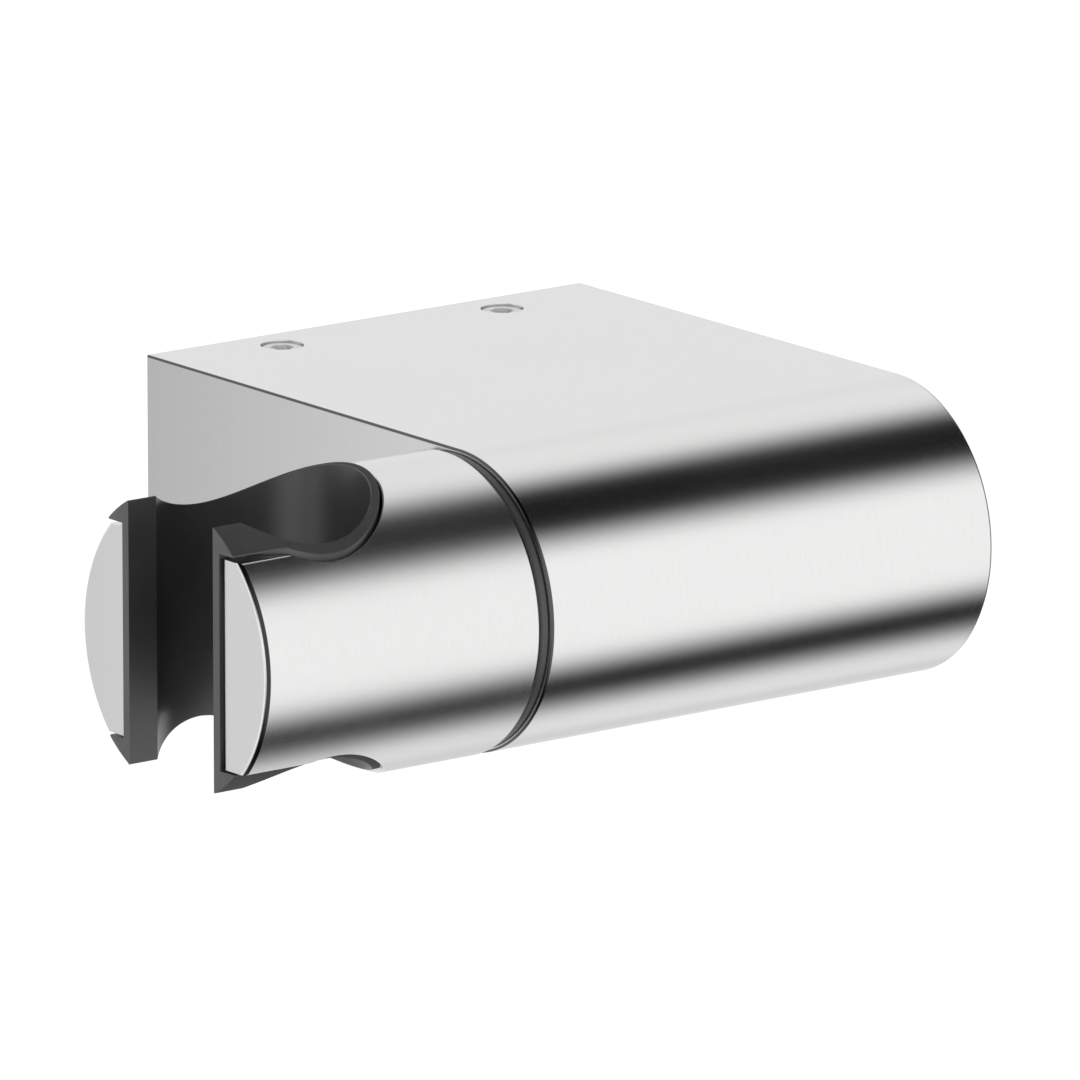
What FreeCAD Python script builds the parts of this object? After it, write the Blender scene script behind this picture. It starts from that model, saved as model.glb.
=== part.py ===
import FreeCAD, Part
import math
import os
import Sketcher

# Hand shower holder for a wall: a D-shaped metal housing with a half-round nose, a round
# swivel on the nose axis, and a plastic-lined socket with a slot for the hose.
# Millimetres, +Z up. The origin is on the wall, at the middle of the housing's back, level
# with the nose axis. The wall is the plane Y = 0 and the holder stands out towards -Y.
# The swivel is on the -X side, and turns about the nose axis, which is parallel to X.

# Every driving size: its name, its value and what it is.
SIZES = [
    ("nose_radius", 17.5, "radius of the nose and of the swivel, half the holder's height"),
    ("body_width", 63.5, "housing, from its left face to its right face"),
    ("flat_depth", 60.0, "wall to nose axis, the flat part of the top and the bottom"),
    ("shell_wall", 3.0, "housing wall at the top, the bottom and the nose"),
    ("side_wall", 3.0, "housing wall at the left and the right"),
    ("edge_chamfer", 0.4, "chamfer on the housing's outer edges and on the screws' ends"),
    ("swivel_chamfer", 0.65, "chamfer on the swivel's outer edges"),
    ("cut_edge", 0.15, "edge break where the swivel's cuts meet its round"),
    ("inner_fillet", 1.0, "fillet inside the housing, where the side walls meet the shell"),
    ("clamp_screw_radius", 2.5, "M5 set screws that clamp the housing on its wall plate"),
    ("clamp_screw_spacing", 32.0, "left set screw to right set screw"),
    ("clamp_screw_from_wall", 5.2, "wall to the set screws' axes"),
    ("clamp_screw_sunk", 0.3, "set screw's head below the housing's top"),
    ("clamp_screw_mouth", 0.2, "chamfer round each set screw's hole"),
    ("clamp_hex", 2.5, "across the flats of the set screw's hexagon"),
    ("clamp_hex_depth", 2.0, "depth of that hexagon"),
    ("clamp_boss_radius", 5.0, "boss inside the housing round each set screw"),
    ("clamp_boss_height", 2.0, "how far that boss stands into the housing"),
    ("thread_gap", 0.05, "radial gap between a screw and its threaded hole"),
    ("plate_thickness", 2.5, "sheet thickness of the wall plate"),
    ("plate_side_gap", 1.2, "wall plate to each side wall"),
    ("plate_top_gap", 0.3, "wall plate to the bosses above it"),
    ("plate_flange", 11.0, "how far the wall plate's flanges stand out from the wall"),
    ("plate_bend", 1.0, "inside radius of the wall plate's bends"),
    ("wall_hole_radius", 2.75, "wall screw holes"),
    ("wall_hole_spacing", 36.0, "left wall screw to right wall screw"),
    ("wall_hole_sink", 2.0, "how much wider than its hole each countersink is, in radius"),
    ("running_gap", 0.05, "radial running clearance of the shaft in its bush"),
    ("axial_play", 0.05, "axial play at each running face"),
    ("bush_wall", 2.0, "bearing bush, barrel wall"),
    ("bush_flange", 1.6, "how far the bush's flange stands out from its barrel"),
    ("bush_land", 0.85, "metal between the bush's recess and the stop groove"),
    ("bush_flange_thickness", 1.2, "thickness of that flange"),
    ("boss_wall", 4.0, "wall of the bearing boss inside the housing"),
    ("boss_length", 9.0, "how far that boss stands in from the left wall"),
    ("ring_thickness", 1.2, "spacer ring, as seen between the housing and the swivel"),
    ("ring_set_back", 0.4, "how far the ring lies inside the nose's surface"),
    ("ring_width", 3.7, "radial width of the ring"),
    ("ring_hub_inset", 0.6, "ring's inner edge to its locating hub"),
    ("ring_hub_width", 1.5, "radial width of the locating hub"),
    ("ring_hub_height", 0.8, "how far the hub enters the housing"),
    ("ring_chamfer", 0.25, "chamfer on the ring's outer edges"),
    ("seat_gap", 0.1, "clearance round what is set into a recess"),
    ("stop_pin_radius", 1.0, "stop pin"),
    ("stop_pin_gap", 0.6, "stop pin to the spacer ring's inner edge"),
    ("stop_pin_chamfer", 0.2, "chamfer on the stop pin's ends"),
    ("stop_pin_hold", 6.0, "how deep the pin is held in the swivel"),
    ("stop_pin_reach", 1.5, "how far the pin reaches into the housing's groove"),
    ("stop_groove_depth", 2.0, "depth of the groove that the stop pin runs in"),
    ("stop_groove_gap", 0.2, "clearance round the pin in its groove"),
    ("tilt_limit", 45.0, "degrees that the swivel turns each way before the pin stops it"),
    ("thrust_washer", 1.0, "thickness of the plastic thrust washer"),
    ("spring_width", 3.95, "radial width of the disc springs and the thrust washer"),
    ("spring_thickness", 0.6, "material thickness of a disc spring"),
    ("spring_rise", 0.55, "cone height of a disc spring"),
    ("collar_thickness", 2.5, "collar at the shaft's inner end"),
    ("o_ring_radius", 0.9, "section radius of the shaft's O-ring"),
    ("o_ring_place", 7.0, "housing's left face to the O-ring"),
    ("tongue_flat", 1.0, "how deep each flat of the shaft's tongue is cut"),
    ("tongue_length", 4.5, "how far that tongue enters the swivel"),
    ("swivel_web", 2.25, "metal of the swivel between the tongue and the lock washer"),
    ("pivot_screw_radius", 3.0, "M6 pivot screw"),
    ("pivot_screw_length", 12.0, "length of the pivot screw under its head"),
    ("pivot_hole_extra", 2.0, "threaded hole beyond the pivot screw's tip"),
    ("pivot_head_radius", 5.0, "pivot screw's head"),
    ("pivot_head_height", 3.0, "height of that head"),
    ("pivot_head_gap", 0.4, "clearance round that head in its counterbore"),
    ("pivot_hole_gap", 0.2, "clearance round the screw in the swivel's web"),
    ("pivot_head_round", 0.4, "rounding of that head's rim"),
    ("pivot_hex", 4.0, "across the flats of the head's hexagon"),
    ("pivot_hex_depth", 2.0, "depth of that hexagon"),
    ("lock_washer", 1.2, "thickness of the lock washer"),
    ("lock_washer_split", 8.0, "degrees that the lock washer is open"),
    ("liner_plug", 1.65, "how deep the liner's plug covers the pivot screw's head"),
    ("socket_radius", 12.0, "bore that the hose's cone sits in"),
    ("liner_wall", 1.0, "wall of the plastic liner round the bore"),
    ("liner_gap", 0.35, "gap between the liner and the swivel, round the bore"),
    ("mouth_reach", 12.4, "socket axis to the swivel's end face"),
    ("slot_half", 8.0, "half the width of the slot that the hose passes through"),
    ("cheek_wall", 1.2, "liner wall beside the slot"),
    ("cheek_gap", 0.5, "gap between the liner and the swivel, beside the slot"),
    ("cheek_proud", 0.4, "how far the liner stands out of the end face"),
    ("lip_inset", 0.1, "how much smaller the liner's rims are than the swivel, in radius"),
    ("liner_lift", 0.45, "how far above the pivot axis the liner's middle is"),
    ("wing_width", 2.57, "how far the liner's wings reach past its cheeks"),
    ("wing_tip", 0.22, "thickness of a wing at its tip"),
    ("top_wing_gap", 0.63, "gap between the top wings and the flat that is cut for them"),
    ("low_wing_gap", 0.5, "gap between the bottom wings and the flat that is cut for them"),
    ("rim_chamfer", 0.25, "lead-in chamfer round the bore's rims"),
    ("cut_margin", 1.0, "how far a cutting profile runs past the solid"),
]


class Size:
    """A length or an angle: the expression that the features are bound to, and its value now."""

    def __init__(self, text, value):
        self.text = text
        self.value = value

    def __add__(self, other):
        other = as_size(other)
        return Size(f"({self.text} + {other.text})", self.value + other.value)

    def __sub__(self, other):
        other = as_size(other)
        return Size(f"({self.text} - {other.text})", self.value - other.value)

    def __rsub__(self, other):
        return as_size(other) - self

    def __mul__(self, other):
        other = as_size(other)
        return Size(f"({self.text} * {other.text})", self.value * other.value)

    __radd__ = __add__
    __rmul__ = __mul__

    def __truediv__(self, other):
        other = as_size(other)
        return Size(f"({self.text} / {other.text})", self.value / other.value)

    def __neg__(self):
        return Size(f"(0 - {self.text})", -self.value)


def as_size(amount):
    return amount if isinstance(amount, Size) else Size(str(amount), float(amount))


def root(amount):
    amount = as_size(amount)
    return Size(f"sqrt({amount.text})", math.sqrt(amount.value))


def leg(hypotenuse, other_leg):
    """The second leg of a right triangle: where a round meets a plane that is off its centre."""
    return root(hypotenuse * hypotenuse - other_leg * other_leg)


class SizeSheet:
    """The spreadsheet of driving sizes. Each alias can be read as an attribute, as a Size."""

    def __init__(self, doc):
        self.sheet = doc.addObject("Spreadsheet::Sheet", "dim")
        for row, (alias, value, meaning) in enumerate(SIZES, start=1):
            self.sheet.set(f"A{row}", meaning)
            self.sheet.set(f"B{row}", str(value))
            self.sheet.setAlias(f"B{row}", alias)
            setattr(self, alias, Size(f"dim.{alias}", float(value)))
        doc.recompute()


doc = FreeCAD.newDocument("hand_shower_holder")
dim = SizeSheet(doc)

# In a sketch, edge -1 is the horizontal axis, with the origin at its start, and -2 the vertical.
SKETCH_FRAME = {"origin": (-1, 1), "horizontal": -1, "vertical": -2}

# Places that several pieces share. Along the pivot axis they count from the housing's left
# face, positive into the housing and negative towards the swivel.
left_face = -dim.body_width / 2
axis_y = -dim.flat_depth
inner_radius = dim.nose_radius - dim.shell_wall
boss_end = dim.side_wall + dim.boss_length
spring_stack = (dim.spring_thickness + dim.spring_rise) * 2
spring_start = boss_end + dim.thrust_washer + dim.axial_play
collar_start = spring_start + spring_stack
ring_radius = dim.nose_radius - dim.ring_set_back
ring_bore = ring_radius - dim.ring_width
stop_pin_circle = ring_bore - dim.stop_pin_gap - dim.stop_pin_radius
stop_reach = dim.stop_pin_radius + dim.stop_groove_gap
bush_recess = stop_pin_circle - stop_reach - dim.bush_land
bush_radius = bush_recess - dim.seat_gap - dim.bush_flange
bush_bore = bush_radius - dim.bush_wall
shaft_radius = bush_bore - dim.running_gap
spring_radius = bush_bore + dim.spring_width
tongue_half = shaft_radius - dim.tongue_flat
boss_radius = bush_radius + dim.boss_wall
swivel_start = -(dim.ring_thickness + dim.axial_play)
tongue_end = swivel_start - dim.tongue_length
head_seat = tongue_end - dim.swivel_web
head_start = head_seat - dim.lock_washer
head_end = head_start - dim.pivot_head_height
counterbore_radius = dim.pivot_head_radius + dim.pivot_head_gap
liner_radius = dim.socket_radius + dim.liner_wall
hole_radius = liner_radius + dim.liner_gap
socket_place = head_end - dim.liner_plug - hole_radius
swivel_end = socket_place - dim.mouth_reach
liner_end = swivel_end - dim.cheek_proud
lip_radius = dim.nose_radius - dim.lip_inset
cheek_half = dim.slot_half + dim.cheek_wall
hole_half = cheek_half + dim.cheek_gap
wing_half = cheek_half + dim.wing_width
wing_floor = leg(lip_radius, wing_half) - dim.wing_tip
top_seat = dim.liner_lift + wing_floor - dim.top_wing_gap
low_seat = dim.liner_lift - wing_floor + dim.low_wing_gap
plate_top = inner_radius - dim.clamp_boss_height - dim.plate_top_gap


def new_body(label):
    body = doc.addObject("PartDesign::Body", label)
    body.Label = label
    return body


def pivot_body(label):
    """A body whose own origin is on the pivot axis, in the plane of the housing's left face."""
    body = new_body(label)
    body.setExpression("Placement.Base.x", left_face.text)
    body.setExpression("Placement.Base.y", axis_y.text)
    return body


def new_sketch(body, name, plane, lift=None, across=None, up=None):
    """A sketch on one of the body's origin planes, lifted along its normal and shifted in it."""
    sketch = body.newObject("Sketcher::SketchObject", f"{body.Name}_{name}")
    support = next(part for part in body.Origin.OriginFeatures if part.Role == plane)
    sketch.AttachmentSupport = (support, [""])
    sketch.MapMode = "FlatFace"
    for direction, amount in (("x", across), ("y", up), ("z", lift)):
        if amount is not None:
            sketch.setExpression(f"AttachmentOffset.Base.{direction}", as_size(amount).text)
    return sketch


def bind(sketch, constraint, amount):
    """Adds a constraint with a value and ties it to a size."""
    index = sketch.addConstraint(constraint)
    sketch.setExpression(f"Constraints[{index}]", amount.text)


def hold_point(sketch, edge, end, x=None, y=None):
    """Holds one end or centre of an edge at x and y from the sketch's origin. 0 is an axis."""
    if x is not None and as_size(x).value == 0:
        on_axis = Sketcher.Constraint("PointOnObject", edge, end, SKETCH_FRAME["vertical"])
        sketch.addConstraint(on_axis)
    elif x is not None:
        place = Sketcher.Constraint("DistanceX", *SKETCH_FRAME["origin"], edge, end, x.value)
        bind(sketch, place, x)
    if y is not None and as_size(y).value == 0:
        on_axis = Sketcher.Constraint("PointOnObject", edge, end, SKETCH_FRAME["horizontal"])
        sketch.addConstraint(on_axis)
    elif y is not None:
        place = Sketcher.Constraint("DistanceY", *SKETCH_FRAME["origin"], edge, end, y.value)
        bind(sketch, place, y)


def point(x, y):
    return FreeCAD.Vector(as_size(x).value, as_size(y).value, 0)


def line(sketch, start, end):
    return sketch.addGeometry(Part.LineSegment(start, end), False)


def join(sketch, edge, next_edge):
    """The end of one edge is the start of the next."""
    sketch.addConstraint(Sketcher.Constraint("Coincident", edge, 2, next_edge, 1))


def polygon(sketch, corners):
    """A closed outline of straight edges, with every corner held by its two sizes."""
    edges = []
    for place, corner in enumerate(corners):
        following = corners[(place + 1) % len(corners)]
        edges.append(line(sketch, point(*corner), point(*following)))
    for place, edge in enumerate(edges):
        join(sketch, edge, edges[(place + 1) % len(edges)])
    for edge, (x, y) in zip(edges, corners):
        hold_point(sketch, edge, 1, x, y)


def rectangle(sketch, low_x, high_x, low_y, high_y):
    polygon(sketch, [(low_x, low_y), (high_x, low_y), (high_x, high_y), (low_x, high_y)])


def hexagon(sketch, across_flats):
    corner = across_flats / root(3)
    flat = across_flats / 2
    polygon(sketch, [
        (corner, 0), (corner / 2, flat), (-corner / 2, flat),
        (-corner, 0), (-corner / 2, -flat), (corner / 2, -flat),
    ])


def circle(sketch, radius, x=0, y=0):
    ring = Part.Circle(point(x, y), FreeCAD.Vector(0, 0, 1), radius.value)
    edge = sketch.addGeometry(ring, False)
    bind(sketch, Sketcher.Constraint("Radius", edge, radius.value), radius)
    hold_point(sketch, edge, 3, x, y)


def arc(sketch, radius, x, start, end):
    """An arc with its centre on the horizontal axis, from one point anticlockwise to another."""
    centre = point(x, 0)
    turn = FreeCAD.Vector(0, 0, 1)
    angles = [math.atan2(spot.y - centre.y, spot.x - centre.x) for spot in (start, end)]
    if angles[1] <= angles[0]:
        angles[1] += 2 * math.pi
    round_edge = Part.ArcOfCircle(Part.Circle(centre, turn, radius.value), *angles)
    edge = sketch.addGeometry(round_edge, False)
    bind(sketch, Sketcher.Constraint("Radius", edge, radius.value), radius)
    hold_point(sketch, edge, 3, x, 0)
    return edge


def d_outline(sketch, back, centre, radius):
    """Flat top and bottom from the back to the centre of a half-round nose, seen from the side."""
    edge_back = line(sketch, point(back, -radius), point(back, radius))
    edge_top = line(sketch, point(back, radius), point(centre, radius))
    edge_nose = arc(sketch, radius, centre, point(centre, radius), point(centre, -radius))
    edge_base = line(sketch, point(centre, -radius), point(back, -radius))
    for edge, following in (
        (edge_back, edge_top), (edge_top, edge_nose), (edge_nose, edge_base), (edge_base, edge_back),
    ):
        join(sketch, edge, following)
    hold_point(sketch, edge_back, 1, back, -radius)
    hold_point(sketch, edge_back, 2, back, radius)
    for end in (1, 2):
        sketch.addConstraint(Sketcher.Constraint("Vertical", edge_nose, end, edge_nose, 3))


def keyhole(sketch, mouth, centre, half_width, radius):
    """A bore seen from above, with a slot of two straight sides open towards -X."""
    neck = centre - leg(radius, half_width)
    low, high = -half_width, half_width
    edge_low = line(sketch, point(mouth, low), point(neck, low))
    edge_bore = arc(sketch, radius, centre, point(neck, low), point(neck, high))
    edge_high = line(sketch, point(neck, high), point(mouth, high))
    edge_mouth = line(sketch, point(mouth, high), point(mouth, low))
    for edge, following in (
        (edge_low, edge_bore), (edge_bore, edge_high), (edge_high, edge_mouth), (edge_mouth, edge_low),
    ):
        join(sketch, edge, following)
    hold_point(sketch, edge_low, 1, mouth, low)
    hold_point(sketch, edge_high, 2, mouth, high)
    sketch.addConstraint(Sketcher.Constraint("Horizontal", edge_low))
    sketch.addConstraint(Sketcher.Constraint("Horizontal", edge_high))


def flatted_round(sketch, radius, half_flats):
    """A round with two parallel flats, above and below its centre."""
    side = leg(radius, half_flats)
    low, high = -half_flats, half_flats
    edge_right = arc(sketch, radius, 0, point(side, low), point(side, high))
    edge_high = line(sketch, point(side, high), point(-side, high))
    edge_left = arc(sketch, radius, 0, point(-side, high), point(-side, low))
    edge_low = line(sketch, point(-side, low), point(side, low))
    for edge, following in (
        (edge_right, edge_high), (edge_high, edge_left), (edge_left, edge_low), (edge_low, edge_right),
    ):
        join(sketch, edge, following)
    for edge, height in ((edge_high, high), (edge_low, low)):
        sketch.addConstraint(Sketcher.Constraint("Horizontal", edge))
        hold_point(sketch, edge, 1, None, height)


def add_feature(body, kind, name, sketch):
    feature = body.newObject(f"PartDesign::{kind}", f"{body.Name}_{name}")
    feature.Profile = sketch
    sketch.Visibility = False
    return feature


def extrude(body, kind, name, sketch, length, way="forward"):
    """A Pad or a Pocket. way is forward along the sketch's normal, back, or both halves."""
    feature = add_feature(body, kind, name, sketch)
    feature.setExpression("Length", length.text)
    if way == "both":
        feature.SideType = "Symmetric"
    points_back = way == "back"
    feature.Reversed = points_back if kind == "Pad" else not points_back and way != "both"
    return feature


def turn(body, kind, name, sketch, angle=None):
    """A Revolution or a Groove about the sketch's horizontal axis, all round or a part."""
    feature = add_feature(body, kind, name, sketch)
    feature.ReferenceAxis = (sketch, ["H_Axis"])
    if angle is None:
        feature.Angle = 360
    else:
        feature.setExpression("Angle", angle.text)
        feature.Midplane = True
    return feature


def edges_where(feature, test):
    """Names of the feature's edges whose sample points all pass the test."""
    names = []
    for number, edge in enumerate(feature.Shape.Edges, start=1):
        first, last = edge.ParameterRange
        spots = [edge.valueAt(first + (last - first) * share) for share in (0.0, 0.3, 0.7, 1.0)]
        if all(test(spot) for spot in spots):
            names.append(f"Edge{number}")
    return names


def dress(body, kind, name, base, test, amount):
    """A Chamfer or a Fillet on the edges of the base that pass the test."""
    doc.recompute()
    names = edges_where(base, test)
    if not names:
        raise RuntimeError(f"{body.Label}: {name} found no edge")
    feature = body.newObject(f"PartDesign::{kind}", f"{body.Name}_{name}")
    feature.Base = (base, names)
    feature.setExpression("Size" if kind == "Chamfer" else "Radius", amount.text)
    return feature


def near(value, amount):
    return abs(value - as_size(amount).value) < 1e-4


def make_housing():
    """The D-shaped shell, open at the wall, with the bearing boss and the set screws' bosses."""
    body = new_body("housing")
    outline = new_sketch(body, "outline", "YZ_Plane")
    d_outline(outline, as_size(0), axis_y, dim.nose_radius)
    block = extrude(body, "Pad", "block", outline, dim.body_width, "both")
    ends = dress(
        body, "Chamfer", "end_edges", block,
        lambda spot: near(abs(spot.x), dim.body_width / 2),
        dim.edge_chamfer,
    )

    hollow = new_sketch(body, "hollow", "YZ_Plane")
    d_outline(hollow, dim.cut_margin, axis_y, inner_radius)
    inner_width = dim.body_width - dim.side_wall * 2
    cavity = extrude(body, "Pocket", "cavity", hollow, inner_width, "both")
    inner_side = inner_width / 2
    dress(
        body, "Fillet", "cavity_corners", cavity,
        lambda spot: near(abs(spot.x), inner_side) and spot.y < -dim.edge_chamfer.value,
        dim.inner_fillet,
    )

    boss = new_sketch(body, "boss", "YZ_Plane", left_face + dim.side_wall, axis_y)
    circle(boss, boss_radius)
    extrude(body, "Pad", "bearing_boss", boss, dim.boss_length)

    bore = new_sketch(body, "bore", "XZ_Plane", -axis_y, left_face)
    polygon(bore, [
        (-dim.cut_margin, 0),
        (boss_end + dim.cut_margin, 0),
        (boss_end + dim.cut_margin, bush_radius),
        (dim.bush_flange_thickness, bush_radius),
        (dim.bush_flange_thickness, bush_recess),
        (-dim.cut_margin, bush_recess),
    ])
    turn(body, "Groove", "bearing_bore", bore)

    hub = new_sketch(body, "hub", "XZ_Plane", -axis_y, left_face)
    hub_inner = ring_bore + dim.ring_hub_inset
    rectangle(
        hub, -dim.cut_margin, dim.ring_hub_height + dim.seat_gap,
        hub_inner - dim.seat_gap, hub_inner + dim.ring_hub_width + dim.seat_gap,
    )
    turn(body, "Groove", "ring_recess", hub)

    stop = new_sketch(body, "stop", "XZ_Plane", -axis_y, left_face)
    rectangle(
        stop, -dim.cut_margin, dim.stop_groove_depth,
        -stop_pin_circle - stop_reach, -stop_pin_circle + stop_reach,
    )
    half_turn = dim.tilt_limit + stop_reach / stop_pin_circle * (180 / math.pi)
    turn(body, "Groove", "stop_groove", stop, half_turn * 2)

    screws = new_sketch(body, "screws", "XY_Plane", inner_radius)
    for side in (-1, 1):
        circle(screws, dim.clamp_boss_radius, dim.clamp_screw_spacing / 2 * side,
               -dim.clamp_screw_from_wall)
    extrude(body, "Pad", "screw_bosses", screws, dim.clamp_boss_height, "back")

    holes = new_sketch(body, "holes", "XY_Plane", inner_radius - dim.clamp_boss_height - dim.cut_margin)
    for side in (-1, 1):
        circle(holes, dim.clamp_screw_radius, dim.clamp_screw_spacing / 2 * side,
               -dim.clamp_screw_from_wall)
    depth = dim.clamp_boss_height + dim.shell_wall + dim.cut_margin * 2
    drilled = extrude(body, "Pocket", "screw_holes", holes, depth)
    dress(
        body, "Chamfer", "screw_mouths", drilled,
        lambda spot: near(spot.z, dim.nose_radius) and inside_screw_rim(spot),
        dim.clamp_screw_mouth,
    )
    return body


def inside_screw_rim(spot):
    """True on the rim of a set screw's hole."""
    away = math.hypot(
        abs(spot.x) - dim.clamp_screw_spacing.value / 2,
        spot.y + dim.clamp_screw_from_wall.value,
    )
    return near(away, dim.clamp_screw_radius)


def make_wall_plate():
    """A bent steel channel that is screwed to the wall and that the housing slides over."""
    body = new_body("wall_plate")
    width = dim.body_width - (dim.side_wall + dim.plate_side_gap) * 2
    section = new_sketch(body, "section", "YZ_Plane")
    inside = -dim.plate_thickness
    low, high = -inner_radius, plate_top
    polygon(section, [
        (0, low), (0, high),
        (-dim.plate_flange, high), (-dim.plate_flange, high - dim.plate_thickness),
        (inside, high - dim.plate_thickness), (inside, low + dim.plate_thickness),
        (-dim.plate_flange, low + dim.plate_thickness), (-dim.plate_flange, low),
    ])
    channel = extrude(body, "Pad", "channel", section, width, "both")
    inner_bends = dress(
        body, "Fillet", "inner_bends", channel,
        lambda spot: near(spot.y, inside) and near_either(spot.z, high - dim.plate_thickness,
                                                         low + dim.plate_thickness),
        dim.plate_bend,
    )
    dress(
        body, "Fillet", "outer_bends", inner_bends,
        lambda spot: near(spot.y, 0) and near_either(spot.z, high, low),
        dim.plate_bend + dim.plate_thickness / 2,
    )
    doc.recompute()
    for side, name in ((-1, "left"), (1, "right")):
        sink = new_sketch(body, f"{name}_sink", "XY_Plane", None, dim.wall_hole_spacing / 2 * side)
        wide = dim.wall_hole_radius + dim.wall_hole_sink
        polygon(sink, [
            (0, dim.cut_margin), (0, inside - dim.cut_margin),
            (wide, inside - dim.cut_margin), (wide, inside),
            (dim.wall_hole_radius, inside + dim.wall_hole_sink), (dim.wall_hole_radius, dim.cut_margin),
        ])
        hole = add_feature(body, "Groove", f"{name}_hole", sink)
        hole.ReferenceAxis = (sink, ["V_Axis"])
        hole.Angle = 360
    return body


def near_either(value, first, second):
    return near(value, first) or near(value, second)


def make_set_screw(label, side):
    """An M5 set screw in the housing's top that bears on the wall plate."""
    body = new_body(label)
    body.setExpression("Placement.Base.x", (dim.clamp_screw_spacing / 2 * side).text)
    body.setExpression("Placement.Base.y", (-dim.clamp_screw_from_wall).text)
    body.setExpression("Placement.Base.z", plate_top.text)
    round_face = new_sketch(body, "round", "XY_Plane")
    circle(round_face, dim.clamp_screw_radius - dim.thread_gap)
    length = dim.nose_radius - dim.clamp_screw_sunk - plate_top
    shank = extrude(body, "Pad", "shank", round_face, length)
    dress(
        body, "Chamfer", "ends", shank,
        lambda spot: near(spot.z, 0) or near(spot.z, length),
        dim.edge_chamfer,
    )
    socket = new_sketch(body, "hexagon", "XY_Plane", length - dim.clamp_hex_depth)
    hexagon(socket, dim.clamp_hex)
    extrude(body, "Pocket", "hex_socket", socket, dim.clamp_hex_depth + dim.cut_margin)
    return body


def make_bearing_bush():
    """The plastic bush that the shaft runs in, with a flange let into the housing's side."""
    body = pivot_body("bearing_bush")
    half = new_sketch(body, "half_section", "XZ_Plane")
    flange = bush_radius + dim.bush_flange
    polygon(half, [
        (0, bush_bore), (boss_end, bush_bore), (boss_end, bush_radius),
        (dim.bush_flange_thickness, bush_radius), (dim.bush_flange_thickness, flange), (0, flange),
    ])
    turn(body, "Revolution", "bush", half)
    return body


def make_spacer_ring():
    """The dark ring between the housing and the swivel, with a hub that centres it."""
    body = pivot_body("spacer_ring")
    half = new_sketch(body, "half_section", "XZ_Plane")
    hub = ring_bore + dim.ring_hub_inset
    start = -dim.ring_thickness
    polygon(half, [
        (start, ring_bore), (0, ring_bore), (0, hub), (dim.ring_hub_height, hub),
        (dim.ring_hub_height, hub + dim.ring_hub_width), (0, hub + dim.ring_hub_width),
        (0, ring_radius - dim.ring_chamfer), (-dim.ring_chamfer, ring_radius),
        (start + dim.ring_chamfer, ring_radius), (start, ring_radius - dim.ring_chamfer),
    ])
    turn(body, "Revolution", "ring", half)
    return body


def make_thrust_washer():
    """The plastic washer between the boss and the springs."""
    body = pivot_body("thrust_washer")
    half = new_sketch(body, "half_section", "XZ_Plane")
    rectangle(half, boss_end, boss_end + dim.thrust_washer, bush_bore, spring_radius)
    turn(body, "Revolution", "washer", half)
    return body


def make_disc_spring(label, wide_face, narrow_face):
    """A coned disc spring that spans from its wide rim's face to its narrow rim's face."""
    body = pivot_body(label)
    half = new_sketch(body, "half_section", "XZ_Plane")
    inward = 1 if narrow_face.value > wide_face.value else -1
    thick = dim.spring_thickness * inward
    bore = bush_bore + dim.seat_gap
    polygon(half, [
        (wide_face, spring_radius), (wide_face + thick, spring_radius),
        (narrow_face, bore), (narrow_face - thick, bore),
    ])
    turn(body, "Revolution", "spring", half)
    return body


def make_pivot_shaft():
    """The steel shaft: a collar behind the springs, a journal, and a tongue in the swivel."""
    body = pivot_body("pivot_shaft")
    half = new_sketch(body, "half_section", "XZ_Plane")
    groove_floor = shaft_radius - dim.o_ring_radius * 2
    groove_half = dim.o_ring_radius + dim.seat_gap
    collar_end = collar_start + dim.collar_thickness
    polygon(half, [
        (swivel_start, 0), (collar_end, 0),
        (collar_end, spring_radius), (collar_start, spring_radius),
        (collar_start, shaft_radius),
        (dim.o_ring_place + groove_half, shaft_radius), (dim.o_ring_place + groove_half, groove_floor),
        (dim.o_ring_place - groove_half, groove_floor), (dim.o_ring_place - groove_half, shaft_radius),
        (swivel_start, shaft_radius),
    ])
    turned = turn(body, "Revolution", "journal", half)
    dress(
        body, "Chamfer", "collar_edge", turned,
        lambda spot: near(spot.x, collar_end) and near(math.hypot(spot.y, spot.z), spring_radius),
        dim.edge_chamfer,
    )
    tongue = new_sketch(body, "tongue", "YZ_Plane", tongue_end)
    flatted_round(tongue, shaft_radius, tongue_half)
    extrude(body, "Pad", "tongue", tongue, dim.tongue_length)
    threaded = new_sketch(body, "threaded", "YZ_Plane", tongue_end - dim.cut_margin)
    circle(threaded, dim.pivot_screw_radius)
    depth = head_start + dim.pivot_screw_length + dim.pivot_hole_extra - tongue_end
    extrude(body, "Pocket", "threaded_hole", threaded, depth + dim.cut_margin)
    return body


def make_shaft_o_ring():
    """The rubber ring in the shaft's groove."""
    body = pivot_body("shaft_o_ring")
    half = new_sketch(body, "half_section", "XZ_Plane", None, dim.o_ring_place)
    circle(half, dim.o_ring_radius, 0, shaft_radius - dim.o_ring_radius)
    turn(body, "Revolution", "o_ring", half)
    return body


def make_stop_pin():
    """The steel pin in the swivel's face that limits how far it turns."""
    body = pivot_body("stop_pin")
    face = new_sketch(body, "face", "YZ_Plane", swivel_start - dim.stop_pin_hold)
    circle(face, dim.stop_pin_radius, 0, -stop_pin_circle)
    length = dim.stop_pin_hold - swivel_start + dim.stop_pin_reach
    pin = extrude(body, "Pad", "pin", face, length)
    low_end = swivel_start - dim.stop_pin_hold
    dress(
        body, "Chamfer", "pin_ends", pin,
        lambda spot: near_either(spot.x, low_end, dim.stop_pin_reach),
        dim.stop_pin_chamfer,
    )
    return body


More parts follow.
